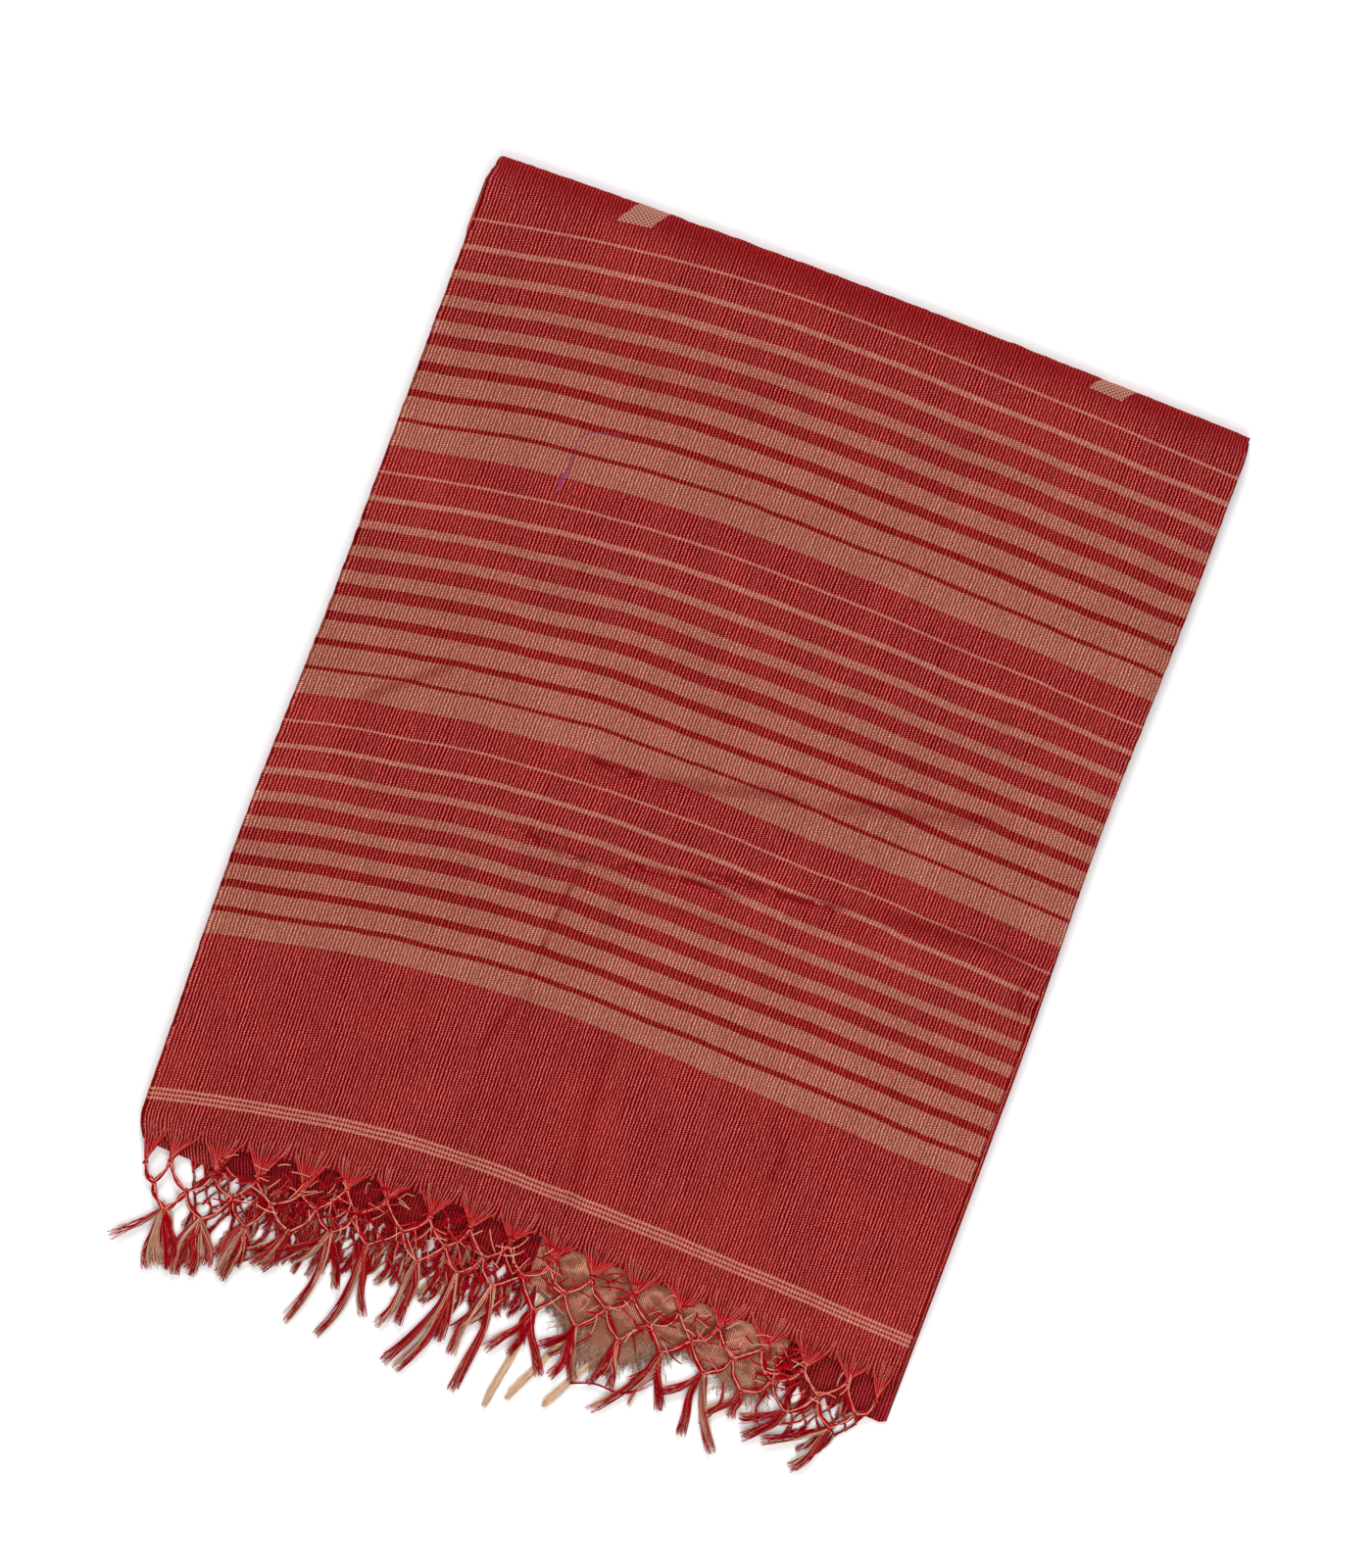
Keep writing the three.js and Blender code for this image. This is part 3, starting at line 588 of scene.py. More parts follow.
def weave_place(nodes):
    """Where a point lies across and down the threads, in millimetres, and where it is on the piece."""
    uv = nodes.add("ShaderNodeUVMap", {"uv_map": "weave"}).outputs["UV"]
    parts = nodes.add("ShaderNodeSeparateXYZ", {}, {"Vector": uv}).outputs
    where = nodes.add("ShaderNodeTexCoord").outputs["Object"]
    return nodes.number(parts["X"]) / MM, nodes.number(parts["Y"]) / MM, where


# How far a warp line strays sideways, in pitches, slowly over the cloth and quickly along itself.
LINE_WANDER = {"amount": 1.1, "across": 14, "down": 60}
LINE_WAVER = {"amount": 0.45, "across": 3.5, "down": 5}
LINE_EDGE = {"out": 0.245, "in": 0.06, "bead": 0.09}  # half width of a line, and how its beads bulge it


def weave_lines(nodes, across, down, pitch, bead_pitch):
    """Beaded warp lines: how much of a line shows at a place, its bead, and the line's own chance."""

    def stray(by, detail):
        spot = nodes.vector(across / by["across"], down / by["down"])
        return (nodes.noise(spot, 1.0, detail=detail) - 0.5) * by["amount"]

    at = across / pitch + stray(LINE_WANDER, 4.0) + stray(LINE_WAVER, 2.0)
    line = at.math("FLOOR")
    own = nodes.chance(line)
    offset = at.math("FRACT") - 0.5
    jitter = nodes.noise(nodes.vector(line, down / 6), 1.0)
    bead = (down / bead_pitch + own * 9 + offset * 0.9 + jitter * 1.6).wave()
    shown = abs(offset + bead * LINE_EDGE["bead"]).step(LINE_EDGE["out"], LINE_EDGE["in"])
    return shown, bead * 0.5 + 0.5, own, offset


# How much paler the narrowest stripes and the fine lines are, and how much deeper the narrow gaps.
PALER_STRIPES = 0.25
PALER_LINES = 0.4
DEEPER_GAPS = 0.75


def stripe_share(down):
    """How much shows at a weft place of the tan stripes, of the narrow, paler ones and of a deep gap."""
    share = fine = deep = 0.0
    for group in STRIPE_GROUPS:
        turns = (down - group["start"]) / group["pitch"]
        number = turns.math("FLOOR")
        into = turns.math("FRACT") * group["pitch"]
        width = (number + 1) * group["unit"]
        inside = (number + 0.5).step(0, 0.01) * (STRIPES_IN_GROUP - 0.5 - number).step(0, 0.01)
        here = into.math("MINIMUM", width - into).step(-0.15, 0.25) * inside
        share = here + share
        fine = here * (3.0 - number).step(0.0, 3.0) * PALER_STRIPES + fine
        beside = (into - width).step(-0.1, 0.5) * inside * (STRIPES_IN_GROUP - 1.5 - number).step(0, 0.01)
        deep = beside * number.step(1.0, 7.0) * DEEPER_GAPS + deep
    half = FINE_LINES["width"] / 2
    for start in FINE_LINES["starts"]:
        here = abs(down - (start + half)).step(half + 0.15, half - 0.25)
        share = here + share
        fine = here * PALER_LINES + fine
    return share.math("MINIMUM", 1.0), fine, deep


def motif_share(nodes, across, down):
    """The small woven motifs across the top fold, and their brickwork of weft floats."""
    up = MOTIF["hem"] - down
    row = (up / MOTIF["row"]).math("FLOOR")
    inside = up.step(0, 0.3) * (MOTIF["length"] - up).step(0, 0.3)
    share = 0.0
    for start in MOTIF_STARTS:
        into = across - start - row * (MOTIF["row"] * MOTIF["lean"])
        share = into.math("MINIMUM", MOTIF["width"] - into).step(-0.1, 0.3) * inside + share
    dash = (across / MOTIF["dash"] + row * 0.5).math("FRACT")
    between = abs((up / MOTIF["row"]).math("FRACT") - 0.5).step(0.47, 0.22)
    float_share = abs(dash - 0.5).step(0.46, 0.24) * between
    return share, float_share


# Tones that go with the colours a user would change.
GRAINY_GROUND = srgb(140, 2, 8)
WORN_RED = srgb(176, 44, 32)
GAP_LINE = srgb(206, 62, 58)
# Painted shade: the red that creases and the end of the weave darken to.
PAINTED_SHADE_RED = srgb(116, 2, 12)
GRAINY_STRIPE = srgb(168, 92, 74)
NARROW_STRIPE = srgb(226, 140, 120)
MOTIF_JOINT = srgb(112, 50, 42)
MOTIF_FLOAT = srgb(208, 150, 132)
TAN_GROUND = srgb(142, 68, 48)
TAN_LINE = srgb(255, 206, 176)
# Lighter cloudy patches of the tan: partly its own uneven tone, partly painted highlight on the crumples.
TAN_CLOUD = srgb(228, 160, 122)
# Painted shade: the tan that the crumple hollows and the cloth's end darken to.
PAINTED_SHADE_TAN = srgb(104, 54, 42)
THREAD_FUZZ = srgb(148, 30, 110)


def cloth_material(name, striped):
    """The handloom weave: beaded warp lines on red, and on the end piece the tan stripes and motifs."""
    sizes, colours = bpy.context.scene.sari_sizes, bpy.context.scene.sari_colours
    material, nodes = new_material(name)
    across, down, where = weave_place(nodes)
    pitch, bead_pitch = sizes.line_pitch / MM, sizes.bead_pitch / MM
    line, bead, own, offset = weave_lines(nodes, across, down, pitch, bead_pitch)
    cloud = nodes.noise(where, 9.0, detail=3.0, roughness=0.6)
    patch = nodes.noise(where, 34.0, detail=3.0, roughness=0.6)
    grain = nodes.noise(where, 900.0).step(0.3, 0.7)
    fleck = nodes.noise(where, 420.0).step(0.35, 0.7)
    weft = (down / 0.62 + own * 0.3).wave() * 0.5 + 0.5

    line_strength = line * (0.2 + bead * 0.84) * (0.5 + own * 0.15 + patch * 0.3 + fleck * 0.5)
    ground = nodes.mix(grain * 0.3, tuple(colours.ground), GRAINY_GROUND)
    colour = nodes.mix(line_strength, ground, tuple(colours.line))
    colour = nodes.mix(cloud.step(0.42, 0.72) * 0.14, colour, WORN_RED)
    height = line * (0.4 + bead * 0.6) + weft * 0.2
    if striped:
        room_y = nodes.number(nodes.add("ShaderNodeSeparateXYZ", {}, {0: where}).outputs["Y"]) / MM
        # Painted shade of the top fold: near it the red turns to the darker fold crimson, with its pale
        # lines faint.
        painted_fold_shade = nodes.mix(line_strength * 0.3, tuple(colours.fold), tuple(colours.line))
        red = nodes.mix((SHIFT_Y - room_y).step(0.0, FOLD_FADE), painted_fold_shade, colour)
        jagged = down + offset.step(-0.1, 0.1) * 0.5 - 0.25
        share, fine, deep = stripe_share(jagged)
        red = nodes.mix(deep, red, nodes.mix(line_strength, tuple(colours.ground), GAP_LINE))
        tan = nodes.mix(grain * 0.5, tuple(colours.stripe), GRAINY_STRIPE)
        tan = nodes.mix(fine * 0.8, tan, NARROW_STRIPE)
        tan = nodes.mix(line_strength, tan, tuple(colours.stripe_line))
        motif, floats = motif_share(nodes, across, down)
        brick = nodes.mix(floats, MOTIF_JOINT, MOTIF_FLOAT)
        colour = nodes.mix(motif.math("MINIMUM", 1.0), nodes.mix(share, red, tan), brick)
        height = height * (1 - share * 0.35) + motif * floats * 0.8
    # Painted shade, darker in creases and near the hems.
    colour = nodes.mix(nodes.attribute("painted_shade"), colour, PAINTED_SHADE_RED)
    shade = cloud * 0.16 + patch * 0.16 + grain * 0.12 + line_strength * 0.18 + 0.59
    colour = nodes.shaded(colour, shade)
    finish_material(
        nodes, colour, 0.78 + grain * 0.2, height, 0.00022,
        **{"Specular IOR Level": 0.02, "Sheen Weight": 0.01, "Sheen Roughness": 0.45},
    )
    return material


TAN_PITCH = 1.5  # of the plain end's warp lines, and of the beads along them


def plain_end_material():
    """Fine tan plain weave with faint rosy warp lines."""
    material, nodes = new_material("tan_plain_weave")
    across, down, where = weave_place(nodes)
    line, bead, own, _offset = weave_lines(nodes, across, down, TAN_PITCH, TAN_PITCH)
    cloud = nodes.noise(where, 28.0, detail=3.0)
    grain = nodes.noise(where, 1100.0).step(0.3, 0.7)
    colour = nodes.mix(line * (0.4 + bead * 0.6) * (0.7 + own * 0.3), TAN_GROUND, TAN_LINE)
    # Lighter patches: uneven tone and painted highlight on the crumples.
    colour = nodes.mix(cloud.step(0.4, 0.7) * 0.35, colour, TAN_CLOUD)
    # Painted shade, darker in the crumple hollows and at the cloth's end.
    colour = nodes.mix(nodes.attribute("painted_shade") * 0.68, colour, PAINTED_SHADE_TAN)
    colour = nodes.shaded(colour, 0.8 + grain * 0.36)
    finish_material(
        nodes, colour, 0.85 + grain * 0.1, line + bead * 0.5, 0.0002,
        **{"Specular IOR Level": 0.08, "Sheen Weight": 0.05},
    )
    return material


def yarn_material(name, depth=1.0):
    """Cotton yarn: each thread's tint runs from crimson through salmon to tan, and a depth below 1 darkens
    it all as painted shade.
    """
    colours = bpy.context.scene.sari_colours
    material, nodes = new_material(name)
    where = nodes.add("ShaderNodeTexCoord").outputs["Object"]
    tint = nodes.attribute("tint")
    own = nodes.attribute("own")
    colour = nodes.mix(tint.step(0.05, 0.6), tuple(colours.crimson), tuple(colours.salmon))
    colour = nodes.mix(tint.step(0.55, 0.95), colour, tuple(colours.tan))
    fuzz = nodes.noise(where, 1600.0)
    patch = nodes.noise(where, 120.0)
    colour = nodes.shaded(colour, (own * 0.45 + fuzz * 0.3 + patch * 0.2 + 0.33) * depth)
    finish_material(
        nodes, colour, 0.7 + fuzz * 0.25, fuzz, 0.00015,
        **{"Specular IOR Level": 0.03, "Sheen Weight": 0.01, "Sheen Roughness": 0.4},
    )
    return material


def thread_material():
    material, nodes = new_material("purple_thread")
    fuzz = nodes.noise(nodes.add("ShaderNodeTexCoord").outputs["Object"], 900.0)
    colour = nodes.mix(fuzz, tuple(bpy.context.scene.sari_colours.thread), THREAD_FUZZ)
    finish_material(nodes, colour, 0.8, fuzz, 0.0001, **{"Sheen Weight": 0.2})
    return material


def floor_material():
    material, nodes = new_material("white_floor")
    where = nodes.add("ShaderNodeTexCoord").outputs["Object"]
    grain = nodes.noise(where, 300.0)
    colour = nodes.mix(grain * 0.05, (0.94, 0.94, 0.94, 1), (0.88, 0.88, 0.88, 1))
    finish_material(nodes, colour, 0.9, grain, 0.00005, **{"Specular IOR Level": 0.0})
    return material


# ---- making pieces ----


def place_piece(name, mesh, material):
    mesh.materials.clear()
    mesh.materials.append(material)
    piece = bpy.data.objects.new(name, mesh)
    bpy.context.scene.collection.objects.link(piece)
    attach(piece, "root")
    return piece


SHARP_ANGLE = math.radians(60)
INNER_SKIP = 3  # the hidden inner face has every third row and column


def soften(mesh):
    """Smooth shading, with sharp rims."""
    mesh.polygons.foreach_set("use_smooth", [True] * len(mesh.polygons))
    mesh.update()
    mesh.set_sharp_from_angle(angle=SHARP_ANGLE)


def grid_faces(grid, inwards=False):
    """The faces between the points of a grid."""
    faces = []
    for row, below in zip(grid, grid[1:]):
        for j in range(len(row) - 1):
            if inwards:
                faces.append((row[j], row[j + 1], below[j + 1], below[j]))
            else:
                faces.append((row[j], below[j], below[j + 1], row[j + 1]))
    return faces


def cloth_mesh(name, rows, columns, outer_at, inner_at, thread_at, painted_shade_at):
    """A closed shell: a fine outer grid, a coarser inner grid and a rim.

    thread_at gives a place's across and down along the threads, for the weave, and painted_shade_at how
    much painted shade darkens it, in a crease or near a hem.
    """
    points, threads, painted_shade = [], [], []

    def add(point, thread, darkness=0.0):
        points.append(point)
        threads.append(thread)
        painted_shade.append(darkness)
        return len(points) - 1

    skip = INNER_SKIP
    outer = [
        [add(outer_at(row, column), thread_at(row, column), painted_shade_at(row, column)) for column in columns]
        for row in rows
    ]
    inner = [
        [add(inner_at(row, column), thread_at(row, column)) for column in columns[::skip]]
        for row in rows[::skip]
    ]
    faces = grid_faces(outer) + grid_faces(inner, inwards=True)
    for i in range(len(inner) - 1):
        span = range(i * skip, (i + 1) * skip + 1)
        faces.append([outer[k][0] for k in reversed(span)] + [inner[i][0], inner[i + 1][0]])
        faces.append([outer[k][-1] for k in span] + [inner[i + 1][-1], inner[i][-1]])
    for j in range(len(inner[0]) - 1):
        span = range(j * skip, (j + 1) * skip + 1)
        faces.append([outer[0][k] for k in span] + [inner[0][j + 1], inner[0][j]])
        faces.append([outer[-1][k] for k in reversed(span)] + [inner[-1][j], inner[-1][j + 1]])
    mesh = bpy.data.meshes.new(name)
    mesh.from_pydata(points, [], faces)
    weave = mesh.uv_layers.new(name="weave")
    corners = [0] * len(mesh.loops)
    mesh.loops.foreach_get("vertex_index", corners)
    weave.data.foreach_set("uv", [value * MM for corner in corners for value in threads[corner]])
    mesh.attributes.new("painted_shade", "FLOAT", "POINT").data.foreach_set("value", painted_shade)
    soften(mesh)
    return mesh


def on_cloth(share, left_at, right_at, v_at):
    """A place on a cloth whose v follows the hem: its share of the width, between two edge lines."""
    rough_v = v_at(share * FOLDED_WIDTH)
    u = lerp(left_at(rough_v), right_at(rough_v), share)
    return u, v_at(u)


# Rows of the upper half, as angle round the top fold or share of the way down to the hem.
TUCK_ROWS = 8
ARC_ROWS = 13
TOP_ROWS = ((0.0, 0.43, 84), (0.43, 0.66, 96), (0.66, 1.0, 72))  # closest across the creases
LIP_COLUMNS = 6
TOP_COLUMNS = 282
LIP_EDGE = 0.3  # how far the lengthwise fold's free edge lies in


def end_piece_rows():
    rows = [("tuck", share) for share in evenly(1, 0, TUCK_ROWS)[:-1]]
    rows += [("arc", angle) for angle in evenly(-math.pi / 2, math.pi / 2, ARC_ROWS)]
    for start, end, count in TOP_ROWS:
        rows += [("top", share) for share in evenly(start, end, count)[1:]]
    return rows


def end_piece_columns():
    """Places across the upper half: share of the width, distance in from the edge, how deep the place
    drops, and the direction that faces out there."""
    columns = [(0.0, LIP_EDGE, LIP_DROP, -1.0, 0.0)]
    for angle in evenly(0, math.pi / 2, LIP_COLUMNS - 1):
        out_u, out_n = -math.cos(angle), math.sin(angle)
        columns.append((0.0, LIP_RADIUS * (1 + out_u), LIP_RADIUS * (1 - out_n), out_u, out_n))
    columns += [(share, LIP_RADIUS, 0.0, 0.0, 1.0) for share in evenly(0, 1, TOP_COLUMNS)[1:]]
    return columns


FIRST_END, LAST_END = 6.0, 582.0  # where the outermost bunches end
BUNCH_ENDS = [FIRST_END] + [(a[0] + b[0]) / 2 for a, b in zip(BUNCHES, BUNCHES[1:])] + [LAST_END]


def bunch_at(u):
    """The middle of the bunch that a place near the hem belongs to, and how far off it is (0 to 1)."""
    for (knot_u, _drop), left, right in zip(BUNCHES, BUNCH_ENDS, BUNCH_ENDS[1:]):
        if u <= right or right == LAST_END:
            half = right - knot_u if u > knot_u else knot_u - left
            return knot_u, clamp(abs(u - knot_u) / half, 0, 1)


SCALLOP = {"dip": 2.0, "arch": 1.4, "reach": 12.0, "pinch": 0.3}


def scalloped_hem(u):
    """The end of the weave, pulled down by each bunch."""
    _knot, off = bunch_at(u)
    return hem(u) + lerp(SCALLOP["dip"], -SCALLOP["arch"], smooth(off))


def end_piece_place(row, column, inset=0.0):
    """A point of the upper half: its u and v, where it lies once set in, and how far behind the crest."""
    kind, amount = row
    share, from_edge, depth, out_u, out_n = column

    def v_at(u):
        fold = fold_line(u)
        if kind == "tuck":
            return fold + lerp(FOLD_RADIUS, TUCK_LENGTH, amount)
        if kind == "arc":
            return fold + FOLD_RADIUS * (1 - math.cos(amount))
        return lerp(fold + FOLD_RADIUS, scalloped_hem(u), amount)

    u, v = on_cloth(share, lambda rough_v: left_edge(rough_v) + from_edge, upper_right_edge, v_at)
    back = 0.0
    if kind == "tuck":
        out_v, out_z, z = 0.0, -1.0, 0.0
        back = v - v_at(u) + FOLD_RADIUS * math.pi + lerp(0, TUCK_LENGTH - FOLD_RADIUS, amount)
    elif kind == "arc":
        out_v, out_z = -math.cos(amount), math.sin(amount)
        z = FOLD_RADIUS * (1 + math.sin(amount))
        back = FOLD_RADIUS * (math.pi / 2 - amount)
    else:
        out_v, out_z = 0.0, 1.0
        z = upper_height(u, v)
    depth += out_n * inset
    return u, v, (u - out_u * inset, v - out_v * depth, z - out_z * depth), back


HEM_FLUTTER = {"reach": 24, "amount": 0.5}
HEM_SHADE = {"painted_shade": 0.55, "start": 11, "length": 9}  # the end of the weave is darker
EDGE_REACH = 12  # how far in the unevenness of a side edge reaches
FOLD_REACH = 9  # how far down that of the top fold reaches


def end_piece_mesh(thickness):
    inset = thickness / MM

    def relief(kind, u, v):
        if kind != "top":
            return 0.0
        past_fold = smooth((v - 2) / 30)
        depth, _painted_shade = crease_depth_and_shade(u, v)
        soft = ripple(u, v, 70, 0.35) + ripple(u, v, 24, 0.16, 3.0)
        near_hem = smooth((v - hem(u) + HEM_FLUTTER["reach"]) / HEM_FLUTTER["reach"])
        flutter = near_hem * ripple(u, v, 13, HEM_FLUTTER["amount"], 8.0)
        return past_fold * (soft + flutter) - depth

    def uneven(u, v):
        """How far the cloth lies in from its straight edges and its top corners."""
        left = 2.3 * smooth((13 - v) / 5) + ripple(v, 0, 9, 0.6, 1.0) + ripple(v, 0, 4, 0.3, 2.0)
        right = 1.8 * smooth((14 - v) / 5) + ripple(v, 0, 9, 0.6, 3.0) + ripple(v, 0, 4, 0.3, 4.0)
        return left * smooth(1 - u / EDGE_REACH) - right * smooth(1 - (FOLDED_WIDTH - u) / EDGE_REACH)

    def fold_wobble(kind, u, v):
        if kind == "tuck":
            return 0.0
        near = smooth((FOLD_REACH - v) / FOLD_REACH)
        return near * (ripple(u, 0, 18, 0.7, 31.0) + ripple(u, 0, 5, 0.4, 32.0))

    def outer_at(row, column, depth=0.0):
        kind = row[0]
        u, v, (in_u, in_v, in_z), _back = end_piece_place(row, column, depth)
        return place(in_u + uneven(u, v), in_v + fold_wobble(kind, u, v), in_z + relief(kind, u, v))

    def inner_at(row, column):
        return outer_at(row, column, inset)

    def thread_at(row, column):
        u, v, _inside, back = end_piece_place(row, column)
        share, _from_edge, depth = column[:3]
        across = lerp(LIP_RADIUS, FOLDED_WIDTH, share) - depth
        crest = fold_line(u) + FOLD_RADIUS
        gather = smooth((v - hem(u) + SCALLOP["reach"]) / SCALLOP["reach"])
        if gather:
            knot_u, off = bunch_at(u)
            across += SCALLOP["pinch"] * gather * (1 - off**2) * (u - knot_u)
        if back:
            return across, weft_place(u, crest - back)
        settled = smooth((v - 14) / 50) * smooth((hem(u) - 10 - v) / 40)
        slack = ripple(u, v, 60, 1.6, 11.0) + ripple(u, v, 17, 0.5, 12.0) + 0.8 * ridge_height(u, v)
        return across, weft_place(u, v) + settled * (slack + 0.9 * crease_depth_and_shade(u, v)[0])

    # Painted shade: darker in the fine creases and towards the end of the weave.
    def painted_shade_at(row, column):
        if row[0] != "top":
            return 0.0
        u, v = end_piece_place(row, column)[:2]
        shade = smooth((v - hem(u) + HEM_SHADE["start"]) / HEM_SHADE["length"])
        return max(crease_depth_and_shade(u, v)[1], HEM_SHADE["painted_shade"] * shade)

    rows, columns = end_piece_rows(), end_piece_columns()
    return cloth_mesh("end_piece", rows, columns, outer_at, inner_at, thread_at, painted_shade_at)


LOWER_ROWS = 99
LOWER_COLUMNS = 120
FLAT_ROWS = 0.35  # the share of its rows that lie level, before it sinks


def lower_half_mesh(thickness):
    """The half under the end piece: it shows along the right edge and below the hem."""

    def left_at(v):
        return left_edge(v) + LIP_RADIUS + GAP

    def at(row, share):
        def v_at(u):
            if row < FLAT_ROWS:
                return lerp(LOWER_HEAD, hem(u) + LOWER_SINK["start"], row / FLAT_ROWS)
            corner = 2.5 * smooth((u - FOLDED_WIDTH + 1.5) / 4)
            sinking = (row - FLAT_ROWS) / (1 - FLAT_ROWS)
            return hem(u) + lerp(LOWER_SINK["start"], lower_hem_drop(u) - corner, sinking)

        return on_cloth(share, left_at, right_edge, v_at)

    def height(u, v):
        drop = v - hem(u)
        loose = smooth((drop + 20) / 30)
        held = smooth((PLAIN_END["left"] - u) / 20) + smooth((u - PLAIN_END["right"]) / 20)
        soft = ripple(u, v, 22, 0.5, 5.0) + ripple(u, v, 9, 0.25, 6.0)
        return lower_height(drop) + loose * soft * lerp(0.3, 1.0, held)

    def outer_at(row, share, depth=0.0):
        u, v = at(row, share)
        return place(u, v, height(u, v) - depth)

    def inner_at(row, share):
        return outer_at(row, share, thickness / MM)

    def thread_at(row, share):
        u, v = at(row, share)
        return lerp(2.0, FOLDED_WIDTH, share), weft_place(u, v)

    # Painted shade: the lower half is darker where it shows under the upper net and fringe, from just
    # above the upper hem down.
    def painted_shade_at(row, share):
        u, v = at(row, share)
        middle = smooth((u - 50) / 30) * smooth((520 - u) / 20)
        right = smooth((u - 500) / 20)
        return smooth((v - hem(u) + 8) / 10) * (0.75 * middle + 0.55 * right)

    rows, shares = evenly(0, 1, LOWER_ROWS), evenly(0, 1, LOWER_COLUMNS)
    return cloth_mesh("lower_half", rows, shares, outer_at, inner_at, thread_at, painted_shade_at)


PLAIN_ROWS = 81
PLAIN_COLUMNS = 150
PLAIN_LOWEST = 0.9  # height of the cloth where it lies on the floor


def plain_end_mesh(thickness):
    """The crumpled far end of the sari, between its two halves."""

    def crumple(u, drop):
        """How far the cloth lies below its ridges, from about 0 to 1."""
        folds = abs(noise.noise(Vector((u / 17 + drop / 30, drop / 11, 1.5))))
        creases = abs(noise.noise(Vector((u / 8 - drop / 14, drop / 6, 4.5))))
        return min(1.6 * folds + 0.9 * creases, 1.0)

    def height(u, drop):
        return plain_end_height(drop) + smooth((drop + 12) / 14) * (0.9 - 2.6 * crumple(u, drop))

    def at(drop, u):
        """The cloth narrows unevenly towards its end."""
        middle = (PLAIN_END["left"] + PLAIN_END["right"]) / 2
        side = (u - middle) / (PLAIN_END["right"] - middle)
        past = smooth((drop + 10) / (PLAIN_END["hem"] + 10))
        u -= abs(side) ** 3 * (past * (6 + ripple(drop, side, 13, 4.0, 2.0)) if side > 0 else 9)
        drop += flap_length(u) * smooth((drop - 8) / (PLAIN_END["hem"] - 8))
        return u, hem(u) + drop + past * ripple(u, drop, 12, 3.0, 9.0), drop

    def outer_at(drop, u):
        u, v, drop = at(drop, u)
        return place(u, v, max(height(u, drop), lower_height(drop) + 0.45, PLAIN_LOWEST))

    def inner_at(drop, u):
        return outer_at(drop, u) - Vector((0, 0, thickness))

    def thread_at(drop, u):
        u, _v, drop = at(drop, u)
        return u + 1.2 * crumple(u, drop), drop + 60

    # Painted shade: darker in the hollows of the crumples and over the last of the cloth, where it lies in
    # shade.
    def painted_shade_at(drop, u):
        u, _v, drop = at(drop, u)
        return max(smooth(crumple(u, drop)) ** 2, 0.85 * smooth((drop - 30) / 12))

    drops = evenly(PLAIN_END["head"], PLAIN_END["hem"], PLAIN_ROWS)
    across = evenly(PLAIN_END["left"], PLAIN_END["right"], PLAIN_COLUMNS)
    return cloth_mesh("plain_tan_end", drops, across, outer_at, inner_at, thread_at, painted_shade_at)


RING_POINTS = {"hem": 60, "right": 90, "top": 50, "left": 90}
PLY_STEPS = (0.06, 0.3, 0.6, 0.88)  # heights in one ply, from its groove to its top
PLY_INSET = {"mean": 1.2, "wander": 1.0, "fine": 0.25, "groove": 0.75}
LEDGE = {"inset": 38.0, "top": PLY + GAP + 0.06}  # room for the tuck below the top fold
CORNER_ROUNDING = 3
# Near the top fold some plies stick out: from which ply, how far, and where along the edge.
CORNER_PLIES = {
    "left": {"ply": 6, "out": 2.2, "end": 64, "fade": 10, "start": 6, "rise": 8},
    "right": {"ply": 8, "out": 1.4, "end": 36, "fade": 8, "start": 8, "rise": 5},
}
SIDE_SEEDS = {"left": 0, "right": 9, "hem": 5}
WRAP = 1.6  # how far the weave moves on for each millimetre up the bundle's side


